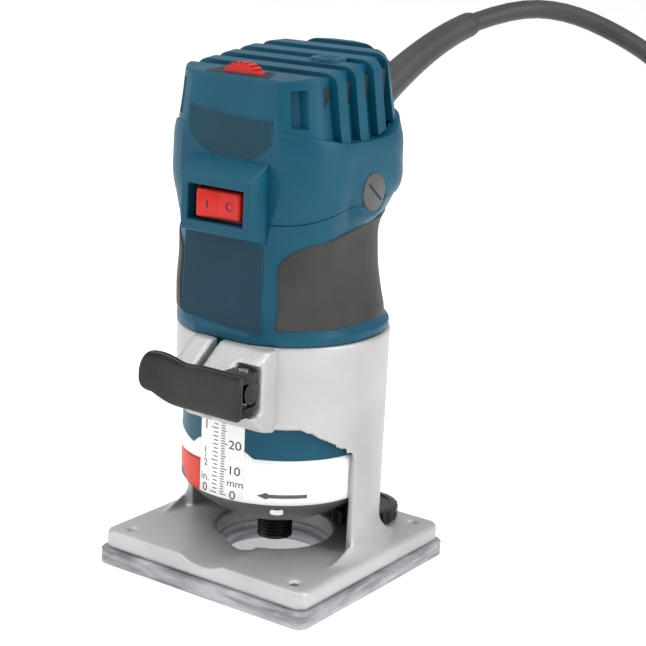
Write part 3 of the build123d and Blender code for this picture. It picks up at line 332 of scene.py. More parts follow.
def finish_material(name, dark, light, roughness, metallic=0.0, grain_mm=0.4, bump=0.15, patch_mm=12.0,
                    rough_spread=0.08, stretch=(1, 1, 1), soft_edge_mm=0.0, sockets=None):
    """A finish with two tones, uneven gloss and a fine surface grain.

    The tone follows slow noise, the roughness a middle noise, the bump a fine one; stretch makes
    the grain longer along an axis. soft_edge_mm rounds the look of CAD edges.
    """
    material = bpy.data.materials.new(name)
    material.use_nodes = True
    tree = material.node_tree
    shader = tree.nodes["Principled BSDF"]
    shader.inputs["Metallic"].default_value = metallic
    for key, value in (sockets or {}).items():
        shader.inputs[key].default_value = value
    coordinates = node_of(tree, "ShaderNodeTexCoord")
    mapping = node_of(tree, "ShaderNodeMapping", Scale=stretch)
    tree.links.new(coordinates.outputs["Object"], mapping.inputs["Vector"])

    def noise(size_mm, detail):
        made = node_of(tree, "ShaderNodeTexNoise", Scale=1000.0 / size_mm, Detail=detail)
        tree.links.new(mapping.outputs["Vector"], made.inputs["Vector"])
        return made.outputs["Fac"]

    tone = node_of(tree, "ShaderNodeValToRGB")
    tone.color_ramp.elements[0].position = 0.35
    tone.color_ramp.elements[0].color = (*dark, 1)
    tone.color_ramp.elements[1].position = 0.68
    tone.color_ramp.elements[1].color = (*light, 1)
    tree.links.new(noise(patch_mm, 3.0), tone.inputs["Fac"])
    tree.links.new(tone.outputs["Color"], shader.inputs["Base Color"])
    gloss = node_of(tree, "ShaderNodeMapRange")
    gloss.inputs["To Min"].default_value = max(roughness - rough_spread, 0.02)
    gloss.inputs["To Max"].default_value = min(roughness + rough_spread, 1.0)
    tree.links.new(noise(patch_mm / 4, 4.0), gloss.inputs["Value"])
    tree.links.new(gloss.outputs["Result"], shader.inputs["Roughness"])
    relief = node_of(tree, "ShaderNodeBump", Strength=bump, Distance=grain_mm * MM * 0.25)
    tree.links.new(noise(grain_mm, 2.0), relief.inputs["Height"])
    if soft_edge_mm:
        rounding = node_of(tree, "ShaderNodeBevel", samples=4, Radius=soft_edge_mm * MM)
        tree.links.new(rounding.outputs["Normal"], relief.inputs["Normal"])
    tree.links.new(relief.outputs["Normal"], shader.inputs["Normal"])
    return material


blue_plastic = finish_material("blue_plastic", (0.0008, 0.060, 0.104), (0.0014, 0.072, 0.122), 0.42,
                               grain_mm=0.55, bump=0.22, patch_mm=18, sockets={"Specular IOR Level": 0.22})
blue_panel = finish_material("blue_panel", (0.0005, 0.030, 0.052), (0.0009, 0.037, 0.062), 0.36,
                             grain_mm=0.3, bump=0.08, patch_mm=15, sockets={"Specular IOR Level": 0.22})
# dark fill: the dark joint of the parting seam, and painted shade inside the vent openings, the dial recess
# and the brush cap slots
seam_and_painted_shade = finish_material("seam_and_painted_shade", (0.004, 0.012, 0.018), (0.006, 0.018, 0.026), 0.7)
grip_rubber = finish_material("grip_rubber", (0.030, 0.029, 0.028), (0.042, 0.041, 0.040), 0.55,
                              grain_mm=0.5, bump=0.35, patch_mm=22, sockets={"Specular IOR Level": 0.25})
cast_metal = finish_material("cast_metal", (0.43, 0.43, 0.435), (0.50, 0.50, 0.505), 0.46, metallic=0.45,
                             grain_mm=0.9, bump=0.7, patch_mm=30, rough_spread=0.06)
label_film = finish_material("label_film", (0.80, 0.80, 0.79), (0.84, 0.84, 0.83), 0.32,
                             grain_mm=0.6, bump=0.05, patch_mm=25)
label_red = finish_material("label_red", (0.56, 0.022, 0.008), (0.61, 0.028, 0.010), 0.40, bump=0.05,
                            sockets={"Specular IOR Level": 0.3})
label_ink = finish_material("label_ink", (0.010, 0.010, 0.010), (0.018, 0.018, 0.018), 0.45, bump=0.05)
arrow_ink = finish_material("arrow_ink", (0.06, 0.06, 0.06), (0.085, 0.085, 0.085), 0.42, bump=0.05)
white_ink = finish_material("white_ink", (0.62, 0.66, 0.68), (0.72, 0.75, 0.77), 0.5, bump=0.05)
grey_plastic = finish_material("grey_plastic", (0.060, 0.060, 0.062), (0.078, 0.078, 0.080), 0.45,
                               grain_mm=0.5, bump=0.2)
black_gloss = finish_material("black_gloss", (0.008, 0.008, 0.008), (0.013, 0.013, 0.013), 0.28,
                              grain_mm=0.8, bump=0.06, sockets={"Specular IOR Level": 0.3,
                                                                "Coat Weight": 0.08, "Coat Roughness": 0.12})
black_plastic = finish_material("black_plastic", (0.010, 0.010, 0.010), (0.017, 0.017, 0.017), 0.42,
                                grain_mm=0.4, bump=0.2, soft_edge_mm=0.3)
red_plastic = finish_material("red_plastic", (0.50, 0.010, 0.006), (0.58, 0.016, 0.009), 0.36,
                              grain_mm=0.5, bump=0.08, sockets={"Specular IOR Level": 0.3})
cord_rubber = finish_material("cord_rubber", (0.026, 0.026, 0.026), (0.038, 0.038, 0.037), 0.5,
                              grain_mm=0.6, bump=0.25, patch_mm=20)
bright_steel = finish_material("bright_steel", (0.52, 0.52, 0.53), (0.62, 0.62, 0.63), 0.26, metallic=1.0,
                               grain_mm=0.3, bump=0.15, soft_edge_mm=0.2)
dark_steel = finish_material("dark_steel", (0.055, 0.055, 0.058), (0.11, 0.11, 0.115), 0.34, metallic=1.0,
                             grain_mm=0.3, bump=0.2)
core_steel = finish_material("core_steel", (0.30, 0.30, 0.31), (0.40, 0.40, 0.41), 0.4, metallic=1.0,
                             grain_mm=0.5, bump=0.9, stretch=(0.05, 0.05, 1), soft_edge_mm=0.2)
copper_wire = finish_material("copper_wire", (0.42, 0.14, 0.05), (0.62, 0.24, 0.09), 0.34, metallic=1.0,
                              grain_mm=0.6, bump=0.9, patch_mm=4)
copper_bars = finish_material("copper_bars", (0.60, 0.28, 0.14), (0.72, 0.36, 0.20), 0.25, metallic=1.0,
                              grain_mm=0.3, bump=0.3, stretch=(1, 1, 4))
brass_sheet = finish_material("brass_sheet", (0.56, 0.38, 0.12), (0.68, 0.48, 0.18), 0.3, metallic=1.0,
                              grain_mm=0.4, bump=0.15, soft_edge_mm=0.2)
carbon_block = finish_material("carbon_block", (0.012, 0.012, 0.013), (0.022, 0.022, 0.023), 0.6, bump=0.4)
board_green = finish_material("board_green", (0.010, 0.09, 0.035), (0.016, 0.13, 0.05), 0.35, bump=0.1,
                              patch_mm=5)
# the dark and light streaks of the clear sub-base are painted reflections, standing in for what the clear
# plate reflects and refracts
clear_plastic = finish_material("clear_plastic", (0.17, 0.16, 0.18), (0.52, 0.50, 0.54), 0.12,
                                grain_mm=2.2, bump=0.4, patch_mm=9, rough_spread=0.05,
                                stretch=(0.45, 0.45, 3.0),
                                sockets={"Transmission Weight": 0.35, "IOR": 1.49})

CAD_FINISHES = {
    "sub_base_screws": bright_steel, "clamp_bolt": dark_steel, "clamp_nut": bright_steel,
    "lever_pin": bright_steel, "adjuster_screw": bright_steel, "adjuster_carriage": dark_steel,
    "bottom_cover_screws": bright_steel, "armature_core": core_steel, "armature_windings": copper_wire,
    "commutator": copper_bars, "fan": black_plastic, "lower_bearing": bright_steel,
    "upper_bearing": bright_steel, "stator_core": core_steel, "field_windings": copper_wire,
    "top_screw": black_plastic, "bearing_bridge": black_plastic, "brush_holders": brass_sheet,
    "carbon_brushes": carbon_block, "brush_springs": bright_steel, "switch_body": black_plastic,
    "speed_dial": red_plastic, "speed_potentiometer": black_plastic,
    "speed_control_board": board_green, "cord_clamp": black_plastic, "plug_blades": brass_sheet,
}
for node_name, finish in CAD_FINISHES.items():
    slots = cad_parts[node_name].data.materials
    slots.clear()
    slots.append(finish)

# ---------------------------------------------------------------- lead and plug
CORD_D = 7.8
BOOT_START, BOOT_BEND, BOOT_END = (0.0, 32.5, 165.5), (2.3, 78.6, 198.6), (11.0, 109.5, 207.7)
CORD_ROUTE = (
    (11.0, 109.5, 207.7), (18.0, 130.5, 213.8), (34.5, 146.8, 213.8), (56.5, 155.2, 205.4),
    (79.0, 157.0, 193.8), (95.5, 156.8, 173.5), (101.0, 154.8, 143.0), (101.6, 151.0, 107.0),
    (101.2, 145.8, 72.0), (102.6, 139.8, 40.4), (113.4, 135.0, 17.0), (131.8, 133.2, 4.4),
)
TAIL_ROUTE = (
    (186.9, 77.4, 24.6), (185.2, 63.2, 16.6), (185.0, 49.5, 9.4), (185.0, 34.0, 9.3),
)
COIL_CENTER = (159.8, 102.7)
COIL_TURN_R = (33.9, 26.1)
COIL_LAYER_Z = (4.0, 11.8, 19.6, 27.4)
COIL_START, COIL_SWEEP = 100.0, 2640.0    # degrees, going round clockwise
STEP_START, STEP_SWEEP = 278.0, 62.0      # stretch of each turn where the lead moves over


def coil_points(per_turn=16):
    """Turns of the coil: outer to inner in one layer, inner to outer in the next.

    Each turn keeps its radius and height, and moves on to the next place inside one stretch.
    """
    places = [(r, z) for k,
              z in enumerate(COIL_LAYER_Z) for r in (COIL_TURN_R[::-1] if k % 2 else COIL_TURN_R)]
    swept = np.linspace(0, COIL_SWEEP, int(COIL_SWEEP / 360 * per_turn) + 1)
    radius = np.full(len(swept), places[0][0])
    height = np.full(len(swept), places[0][1])
    for k in range(1, len(places)):
        start = STEP_START + 360 * (k - 1)
        moved = smooth_step(swept, start, start + STEP_SWEEP)
        radius += moved * (places[k][0] - places[k - 1][0])
        height += moved * (places[k][1] - places[k - 1][1])
    turn = np.radians(COIL_START - swept)
    return np.stack([COIL_CENTER[0] + radius * np.cos(turn), COIL_CENTER[1] + radius * np.sin(turn), height],
                    1)


cord_curve = bpy.data.curves.new("power_cord", "CURVE")
cord_curve.dimensions = "3D"
cord_curve.bevel_depth = CORD_D / 2 * MM
cord_curve.bevel_resolution = 5
cord_curve.use_fill_caps = True
cord_curve.resolution_u = 4
spline = cord_curve.splines.new("NURBS")
cord_points = np.concatenate([CORD_ROUTE, coil_points(), TAIL_ROUTE]) * MM
spline.points.add(len(cord_points) - 1)
spline.points.foreach_set("co", np.column_stack([cord_points, np.ones(len(cord_points))]).ravel())
spline.order_u = 3
spline.use_endpoint_u = True
cord_curve.materials.append(cord_rubber)
power_cord = bpy.data.objects.new("power_cord", cord_curve)
bpy.context.scene.collection.objects.link(power_cord)
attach(power_cord, "motor")
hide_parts("cord_tube", "cord_coil", "cord_tail")


def boot_centre(t):
    """Quadratic Bezier of the boot's centre line."""
    t = np.asarray(t, float)[:, None]
    return ((1 - t) ** 2 * np.array(BOOT_START) + 2 * t * (1 - t) * np.array(BOOT_BEND)
            + t ** 2 * np.array(BOOT_END))


boot_t = np.linspace(-0.03, 1, 60)
boot_radius = 5.15 + 2.4 * (1 - np.clip(boot_t, 0, 1)) ** 1.6 - 0.55 * smooth_step(boot_t, 0.965, 1.0)
piece("cord_boot_sleeve", [tube(boot_centre(boot_t), boot_radius, around=40)], cord_rubber, "motor",
      ["cord_boot"], sharp=60)


PLUG_START = (185.0, 34.0, 9.3)


def plug_ring(distance, half_x, half_z, corner):
    """One cross-section of the plug: a superellipse about its axis, a distance from the lead."""
    turn = np.linspace(0, 2 * pi, 40, endpoint=False)
    power = 2 / corner
    x = half_x * np.sign(np.cos(turn)) * np.abs(np.cos(turn)) ** power
    z = half_z * np.sign(np.sin(turn)) * np.abs(np.sin(turn)) ** power
    return np.stack([PLUG_START[0] + x, np.full(40, PLUG_START[1] - distance), PLUG_START[2] + z], 1)


plug_stations = ((0.0, 5.0, 5.0, 2.0), (0.6, 5.4, 5.4, 2.0), (11.0, 7.6, 6.4, 2.3), (17.0, 9.0, 7.0, 3.0),
                 (27.0, 10.6, 8.0, 4.0), (35.0, 12.1, 8.8, 5.0), (37.4, 12.4, 8.9, 5.0),
                 (38.0, 11.8, 8.4, 5.0))
plug = piece("mains_plug", [loops(*[plug_ring(*station) for station in plug_stations])], cord_rubber, "motor",
             ["plug_body"], sharp=50, recalculate=True)

# ---------------------------------------------------------------- motor housing
housing_mid = casing(HOUSING_ROWS, np.full((1, len(column_segment)), 140.0))[0]
parting = parting_height(housing_mid[:, 1])
lip_heights = np.array([99.0, 99.4, 100.6, 101.6, 102.0, 102.4, 102.8, 103.2, 103.8, 105.0])
upper_rows = heights(38, np.full(len(column_segment), 106.5), parting - 0.15)
housing_z = np.concatenate([np.repeat(lip_heights[:, None], len(column_segment), axis=1), upper_rows])
housing_points = bulged(casing(HOUSING_ROWS, housing_z))
piece("lower_casing", [sheet(housing_points, wrap=True)], blue_plastic, "motor",
      ["motor_housing"], wall=2.2, bevel=0.35, sharp=14)
motor_can = revolved([(HOUSING_R - 2.5, MOTOR_BOTTOM_Z), (HOUSING_R - 0.4, MOTOR_BOTTOM_Z),
                      (HOUSING_R, MOTOR_BOTTOM_Z + 0.4), (HOUSING_R, LIP_Z + 1), (HOUSING_R - 2.5, LIP_Z + 1),
                      (HOUSING_R - 2.5, MOTOR_BOTTOM_Z)], around=160)
piece("motor_can", [motor_can], blue_plastic, "motor", sharp=40, recalculate=True)
piece("parting_seam", [sheet(bulged(casing(HOUSING_ROWS, heights(5, parting - 1.2, parting + 1.2), 0.45)),
                             wrap=True)], seam_and_painted_shade, "motor", wall=0.8)

# ---------------------------------------------------------------- head of the top cover
ledge = ledge_height(housing_mid[:, 1])
band_points = bulged(casing(BAND_ROWS, heights(40, parting + 0.25, ledge)))
shoulder = casing(BAND_ROWS, np.stack([ledge + 0.6, ledge + 0.9]), 0.0)
step_in = np.linspace(0.3, 3.9, 6)
shoulder = np.array([casing(BAND_ROWS, (ledge + 0.25 + 0.45 * (depth / 3.9))[None],
                            depth)[0] for depth in step_in])
piece("upper_casing", [sheet(np.concatenate([band_points, shoulder]), wrap=True)], blue_plastic, "motor",
      ["top_cover"], wall=2.0, bevel=0.3, sharp=14)

FIN_DEPTH = 3.6
FRONT_TOP_Y, FRONT_TOP_Z, TOP_SLOPE = -37.0, 194.4, 7.85
RIB_PITCH = 11.8
FIRST_SLOT_Y = -21.6
SLOT_WIDTH = 6.4
GROOVE = 1.6
SLOT_YS = [FIRST_SLOT_Y + RIB_PITCH * k for k in range(5)]


def top_height(y):
    """The sloping top: lowest along the front edge, highest at the rear."""
    return FRONT_TOP_Z + (y - FRONT_TOP_Y) * np.tan(radians(TOP_SLOPE))


def core_block():
    """The closed body between the ribs: the casing's outline, inset by their depth, with a sloping top."""
    outline = casing(FIN_ROWS, np.full((1, len(column_segment)), 190.0), FIN_DEPTH)[0]
    top = top_height(outline[:, 1]) - GROOVE
    rings = []
    for share in np.linspace(0, 1, 14):
        z = (171 + share * (top - 1.0 - 171))[None]
        rings.append(casing(FIN_ROWS, z, FIN_DEPTH)[0])
    rings.append(casing(FIN_ROWS, (top - 0.3)[None], FIN_DEPTH + 0.3)[0])
    rings.append(casing(FIN_ROWS, top[None], FIN_DEPTH + 1.0)[0])
    return sheet(np.array(rings), wrap=True, caps=(True, True))


def rib(low_y, high_y):
    """One rib: the casing's outline seen from the front, between two planes across the body."""
    rings = []
    for y in (low_y, high_y):
        lowest, top_z = float(ledge_height(y)) - 0.4, float(top_height(y))
        z_side = np.concatenate([np.linspace(lowest, top_z - 4.2, 12),
                                 top_z - 4.2 + 4.2 * np.sin(np.linspace(0.2, 1.57, 7))])
        corner = np.concatenate([np.zeros(12), 5.0 * (1 - np.cos(np.linspace(0.2, 1.57, 7)))])
        x_side = side_x(FIN_ROWS, y, z_side) - corner
        right = np.stack([x_side, np.full_like(x_side, y), z_side], 1)
        left = right[::-1] * np.array([-1, 1, 1])
        rings.append(np.concatenate([right, left]))
    return loops(*rings)


rib_edges = [(low + SLOT_WIDTH / 2, high - SLOT_WIDTH / 2) for low, high in zip(SLOT_YS, SLOT_YS[1:])]
rib_edges.append((SLOT_YS[-1] + SLOT_WIDTH / 2, 31.0))
piece("cooling_ribs", [rib(*edges) for edges in rib_edges], blue_plastic, "motor",
      bevel=0.5, recalculate=True)

POCKET_Y = (-34.2, -30.6)
POCKET_X = 24
POCKET_SHARE = (0.16, 0.81)       # of the block's height
POCKET_DEPTH, POCKET_SETBACK = 3.0, 1.4
# share of the height, drop below it, inset
FRONT_RINGS = [(share, 0, 0) for share in (0, 0.15, 0.17, 0.3, 0.45, 0.6, 0.8, 0.82)]
FRONT_RINGS += [(1, 1.2, 0), (1, 0.5, 0.2), (1, 0, 0.9)]


def front_block():
    """The head in front of the first slot: the casing's outline cut off behind, under the sloping top."""
    outline = casing(FIN_ROWS, np.full((1, len(column_segment)), 185.0))[0]
    ahead = outline[:, 1] < FIRST_SLOT_Y - SLOT_WIDTH / 2
    first = int(np.argmax(ahead & ~np.roll(ahead, 1)))
    picked = (first + np.arange(int(ahead.sum()))) % len(outline)
    front = outline[picked]
    top = top_height(front[:, 1])
    back_y = FIRST_SLOT_Y - SLOT_WIDTH / 2
    rings = []
    for share, drop, depth in FRONT_RINGS:
        low = ledge_height(front[:, 1]) - 0.3
        z = low + share * (top - low) - drop
        ring = casing(FIN_ROWS, np.interp(np.arange(len(outline)), np.sort(picked),
                                          z[np.argsort(picked)])[None], depth)[0][picked]
        in_pocket = ((ring[:, 1] > POCKET_Y[0]) & (ring[:, 1] < POCKET_Y[1]) & (np.abs(ring[:, 0]) > POCKET_X)
                     & (POCKET_SHARE[0] < share < POCKET_SHARE[1]))
        ring[in_pocket, 0] -= np.sign(ring[in_pocket, 0]) * POCKET_DEPTH
        ring[in_pocket, 1] += POCKET_SETBACK
        ends = np.array([[ring[-1, 0], back_y, ring[-1, 2]], [ring[0, 0], back_y, ring[0, 2]]])
        rings.append(np.concatenate([ring, ends]))
    return loops(*rings)


piece("head_front", [front_block()], blue_plastic, "motor", sharp=14, recalculate=True)
piece("head_core", [core_block()], blue_plastic, "motor", sharp=25)

# boss of the top screw
SCREW_X, SCREW_Y, SCREW_FACE_Z = 14.5, 0.5, 200.2
boss = revolved([(3.7, 192.0), (6.8, 192.0), (6.8, SCREW_FACE_Z - 0.7), (6.3, SCREW_FACE_Z),
                 (4.6, SCREW_FACE_Z),
                 (3.7, SCREW_FACE_Z - 0.7), (3.7, 192.0)], (SCREW_X, SCREW_Y), around=48)
piece("top_screw_boss", [boss], blue_plastic, "motor", sharp=50, recalculate=True)

# vents in the slots: dark blocks as painted shade of the openings
vent_parts = []
for slot_y in SLOT_YS:
    x_out = float(side_x(FIN_ROWS, slot_y, 186.0)) - FIN_DEPTH
    top_z = float(top_height(slot_y)) - GROOVE
    for side in (1, -1):
        x0, x1 = sorted((side * (x_out - 3.0), side * (x_out + 0.12)))
        vent_parts.append(prism([(slot_y - 2.6, 179.5), (slot_y + 2.6, 179.5), (slot_y + 2.6, top_z - 3.2),
                                 (slot_y - 2.6, top_z - 3.2)], x0, x1, 0))
    for x0, x1 in ((5.0 - x_out, -5.0), (2.0, x_out - 5.0)):
        low, high = slot_y + 0.6, slot_y + 2.6
        base = [(x0, low), (x1, low), (x1, high), (x0, high)]
        rings = [[(x, y, float(top_height(y)) - GROOVE - 2.0) for x, y in base],
                 [(x, y, float(top_height(y)) - GROOVE + 0.1) for x, y in base]]
        vent_parts.append(loops(*rings))
piece("vent_openings", vent_parts, seam_and_painted_shade, "motor", recalculate=True)

# recess of the speed dial in the sloping top, filled dark as painted shade
dial_base = [(-14.6, -35.0), (13.8, -35.0), (11.4, -27.2), (-12.4, -27.2)]
dial_rings = [[(x, y, float(top_height(y)) + lift) for x, y in dial_base] for lift in (-3.0, 0.1)]
piece("dial_slot", [loops(*dial_rings)], seam_and_painted_shade, "motor", bevel=0.3, recalculate=True)


# ---------------------------------------------------------------- flat marks and panels on the casing
def front_patch(outline, lift, thick=0.3, rows=HOUSING_ROWS):
    """A flat plate on the front face: its outline as (x, z), standing lift proud of the face."""
    outline = np.asarray(outline, float)
    front = casing_values(rows, outline[:, 1])[:, 1]
    outer = np.stack([outline[:, 0], -front - lift, outline[:, 1]], 1)
    return loops(outer, outer + np.array([0, thick, 0]))


def rounded(corners, radius, steps=6):
    """A polygon's corners replaced by arcs, each as a quadratic curve between its two sides."""
    corners = np.asarray(corners, float)
    made = []
    for before, corner, after in zip(np.roll(corners, 1, axis=0), corners, np.roll(corners, -1, axis=0)):
        start = corner + (before - corner) / np.linalg.norm(before - corner) * radius
        end = corner + (after - corner) / np.linalg.norm(after - corner) * radius
        t = np.linspace(0, 1, steps)[:, None]
        made.append((1 - t) ** 2 * start + 2 * t * (1 - t) * corner + t ** 2 * end)
    return np.concatenate(made)


def front_ridge(outline, radius, rows):
    front = casing_values(rows, outline[:, 1])[:, 1]
    return tube(np.stack([outline[:, 0], -front, outline[:, 1]], 1), radius, around=8, closed=True)


arc = np.radians(np.linspace(200, 340, 30))
badge_outline = np.concatenate([
    [(17.8, 180.2), (9.0, 180.3), (0.0, 180.7), (-9.0, 181.4), (-19.0, 182.3), (-19.0, 173.5)],
    np.stack([-0.4 + 19.4 * np.cos(arc), 176.0 + 11.2 * np.sin(arc)], 1)[1:-1],
    [(17.9, 172.5)],
])
piece("badge_recess", [front_patch(badge_outline, 0.16, 0.5, BAND_ROWS)], blue_panel, "motor",
      recalculate=True)
piece("badge_border", [front_ridge(badge_outline, 0.28, BAND_ROWS)], blue_plastic, "motor",
      recalculate=True)
plate_outline = rounded([(-19.4, 137.6), (16.2, 135.2), (17.2, 102.6), (-19.6, 104.6)], 2.6)
piece("rating_panel", [front_patch(plate_outline, 0.16, 0.5)], blue_panel, "motor",
      recalculate=True)
piece("rating_border", [front_ridge(plate_outline, 0.2, HOUSING_ROWS)], blue_plastic, "motor",
      recalculate=True)

blank = rounded([(-9.9, 114.2), (14.9, 113.0), (14.9, 109.6), (-9.9, 110.8)], 0.5)
piece("blank_plate", [front_patch(blank, 0.24, 0.2)], white_ink, "motor", recalculate=True)
piece("double_square", [front_ridge(rounded([(-3.4, 109.0), (1.9, 108.8), (1.9, 104.5), (-3.4, 104.7)],
                                            0.3) + np.array([0, 0]),
                                    0.32, HOUSING_ROWS)], white_ink, "motor",
                                    recalculate=True)

# ---------------------------------------------------------------- switch surround
def rectangle(half_x, low_z, high_z, y, shift=0.0):
    return [(shift - half_x, y, low_z), (shift + half_x, y, low_z), (shift + half_x, y, high_z),
            (shift - half_x, y, high_z)]


surround_rings = [
    rectangle(17.6, 136.0, 166.0, -35.0), rectangle(17.6, 136.0, 165.4, -37.2),
    rectangle(15.5, 138.4, 158.8, -45.5),
    rectangle(12.6, 142.2, 155.4, -45.5), rectangle(12.6, 142.2, 155.4, -38.0),
    rectangle(12.6, 142.2, 155.4, -35.0),
]
surround = sheet(np.array(surround_rings), wrap=True)
piece("switch_surround", [surround], blue_plastic, "motor", bevel=0.5, segments=3,
      recalculate=True)


def rocker_shape():
    """The rocker, untilted: two flat faces meeting in a shallow valley, with rounded edges; placed() tilts it
    about its pivot.
    """
    half_x, half_z = 9.4, 5.1
    x = np.linspace(-half_x, half_x, 41)
    front = -6.0 + 0.9 * (1 - np.abs(x) / half_x)
    edge = 0.9
    rings = []
    for z, pull in ((-half_z, edge), (-half_z + 0.3, 0.35), (-half_z + edge, 0.0), (half_z - edge, 0.0),
                    (half_z - 0.3, 0.35), (half_z, edge)):
        near_end = np.clip((np.abs(x) - (half_x - edge)) / edge, 0, 1)
        y = front + pull + edge * (1 - np.sqrt(1 - near_end ** 2 * 0.98))
        face = np.stack([x, y, np.full_like(x, z)], 1)
        back = np.array([[half_x, 1.5, z], [-half_x, 1.5, z]])
        rings.append(np.concatenate([face, back]))
    return loops(*rings)


ROCKER_PIVOT = (0.0, -38.6, SWITCH_Z)
ROCKER_TILT = 6.0
piece("rocker", [placed(rocker_shape(), ROCKER_TILT, "Z", ROCKER_PIVOT)], red_plastic, "rocker",
      ["switch_rocker"], sharp=50, recalculate=True)
on_mark = prism([(-4.95, -1.5), (-4.45, -1.5), (-4.45, 1.5), (-4.95, 1.5)], -5.72, -5.3, 1)
ring_turn = np.linspace(0, 2 * pi, 36, endpoint=False)
off_mark = tube(np.stack([4.7 + 1.45 * np.cos(ring_turn), np.full(36, -5.55), 1.45 * np.sin(ring_turn)], 1),
                0.2, around=8, closed=True)
piece("rocker_marks", [placed(on_mark, ROCKER_TILT, "Z", ROCKER_PIVOT),
                       placed(off_mark, ROCKER_TILT, "Z", ROCKER_PIVOT)],
      label_ink, "rocker", recalculate=True)

# ---------------------------------------------------------------- rubber grips
GRIP_FRONT, GRIP_REAR, GRIP_LOW = -35.4, 27.0, 104.4


def grip_top(y):
    """Upper edge of a grip: an arc at the front corner, then a gently rising line."""
    arc_part = 126.5 + np.sqrt(np.clip(10.0 ** 2 - (y + 25.5) ** 2, 0, None))
    line_part = np.interp(y, [-26, -8, 6, 24], [136.5, 139.8, 142.4, 144.6])
    return np.where(y < -25.5, np.minimum(arc_part, line_part), line_part)


def grip_patch(side):
    """A skin on the casing's side: a grid over (y, z), raised by 0.55 mm and rolled down at its edges."""
    y = np.concatenate([np.linspace(GRIP_FRONT, -27, 44), np.linspace(-26.2, GRIP_REAR, 66)])
    share = np.linspace(0, 1, 56)[:, None]
    z = GRIP_LOW + share * (grip_top(y) - GRIP_LOW)
    y = np.broadcast_to(y, z.shape)
    to_edge = np.minimum.reduce([z - GRIP_LOW, grip_top(y) - z, 2 * (y - GRIP_FRONT), GRIP_REAR - y])
    lift = -0.5 + 1.05 * np.sqrt(1 - (1 - np.clip(to_edge / 0.9, 0, 1)) ** 2)
    x = side_x(HOUSING_ROWS, y, z) + lift
    bulge = bulged(np.stack([x, y, z], -1))
    points = np.stack([bulge[..., 0] * side, y - lift * smooth_step(-y, 26, 35), z], -1)
    return points if side > 0 else points[:, ::-1]


piece("grip_right", [sheet(grip_patch(1))], grip_rubber, "motor", ["right_grip"], wall=1.2,
      sharp=60)
piece("grip_left", [sheet(grip_patch(-1))], grip_rubber, "motor", ["left_grip"], wall=1.2,
      sharp=60)

# ---------------------------------------------------------------- brush caps
def brush_cap(side):
    """A domed disc facing outwards; the slot across it is a separate piece."""
    profile = [(0.01, 0.0), (BRUSH_CAP_R - 0.9, 0.0), (BRUSH_CAP_R - 0.25, -0.25), (BRUSH_CAP_R, -0.9),
               (BRUSH_CAP_R, -6.8), (0.01, -6.8)]
    disc = revolved(profile, around=64)
    points = np.stack([38.3 * side + disc[0][:, 2] * side, disc[0][:, 0], disc[0][:, 1] + BRUSH_Z], 1)
    return points, disc[1]


piece("brush_cap_discs", [brush_cap(1), brush_cap(-1)], grey_plastic, "motor", ["brush_caps"],
      sharp=40, recalculate=True)
# the slot across each cap is a dark box: painted shade inside the slot
slot_box = prism([(-5.4, -0.55), (5.4, -0.55), (5.4, 0.55), (-5.4, 0.55)], 38.0, 38.36, 0)
slot_parts = []
for side in (1, -1):
    turned = placed(slot_box, -38.0 * side, "X")
    slot_parts.append((turned[0] * np.array([side, 1, 1]) + np.array([0, 0, BRUSH_Z]), turned[1]))
piece("brush_cap_slots", slot_parts, seam_and_painted_shade, "motor", recalculate=True)


# ---------------------------------------------------------------- bottom cover, spindle
cover_profile = [(9.0, 24.0), (20.4, 24.0), (21.6, 24.35), (27.0, 27.3), (32.0, 31.0), (35.4, 34.2),
                 (36.5, 35.4),
                 (36.7, 36.5), (34.0, 36.5), (30.0, 35.6), (16.0, 29.0), (13.2, 28.2), (9.0, 28.2),
                 (9.0, 24.0)]
piece("motor_end_cover", [revolved(cover_profile, around=128)], grey_plastic, "motor",
      ["bottom_cover"], sharp=40, recalculate=True)

NOSE_R, NOSE_Z, THREAD_PITCH, THREAD_DEPTH = 7.0, 10.5, 1.4, 0.75


def thread(turn, z):
    """A triangular thread: its depth follows the distance along the helix at each height and angle."""
    phase = ((z - NOSE_Z) / THREAD_PITCH - turn / (2 * pi)) % 1.0
    inside = smooth_step(z, NOSE_Z + 0.4, NOSE_Z + 1.2) * (1 - smooth_step(z, 21.4, 22.2))
    return -THREAD_DEPTH * (1 - np.abs(2 * phase - 1)) * inside * (z < 22.3)


nose_heights = np.linspace(NOSE_Z, 22.4, 110)
spindle_profile = ([(4.0, 26.5), (4.0, NOSE_Z + 0.6), (4.5, NOSE_Z)] + [(NOSE_R - 0.01,
                                                                         z) for z in nose_heights]
                   + [(8.0, 22.6), (8.0, 27.6), (6.0, 27.6), (6.0, 40.0), (5.0, 41.0), (5.0, 161.5),
                      (3.5, 161.6),
                      (3.5, 172.0), (0.05, 172.0), (0.05, 26.5), (4.0, 26.5)])


def nose_ripple(turn, z):
    outside = np.array([NOSE_Z <= p[1] <= 22.4 and abs(p[0] - NOSE_R) < 0.1 for p in spindle_profile])[:,
                                                                                                       None]
    return thread(turn, z) * outside


piece("spindle_with_thread", [revolved(spindle_profile, around=72, ripple=nose_ripple)], dark_steel,
      "spindle",
      ["spindle"], sharp=35, recalculate=True)


# ---------------------------------------------------------------- thumbwheel
def knurl(turn, z):
    """Twenty-four shallow scallops around the rim, fading out at the chamfers."""
    return -1.1 * np.clip(np.abs(np.sin(12 * turn)) ** 6, 0, 1) * ((z > 14.9) & (z < 19.8))


wheel_profile = [(2.5, 14.4), (13.6, 14.4), (14.6, 14.8), (15.0, 15.0), (15.0, 17.3), (15.0, 19.7),
                 (14.6, 19.9),
                 (13.4, 20.2), (12.0, 20.2), (11.4, 19.6), (6.0, 19.6), (5.4, 20.2), (2.5, 20.2), (2.5, 14.4)]


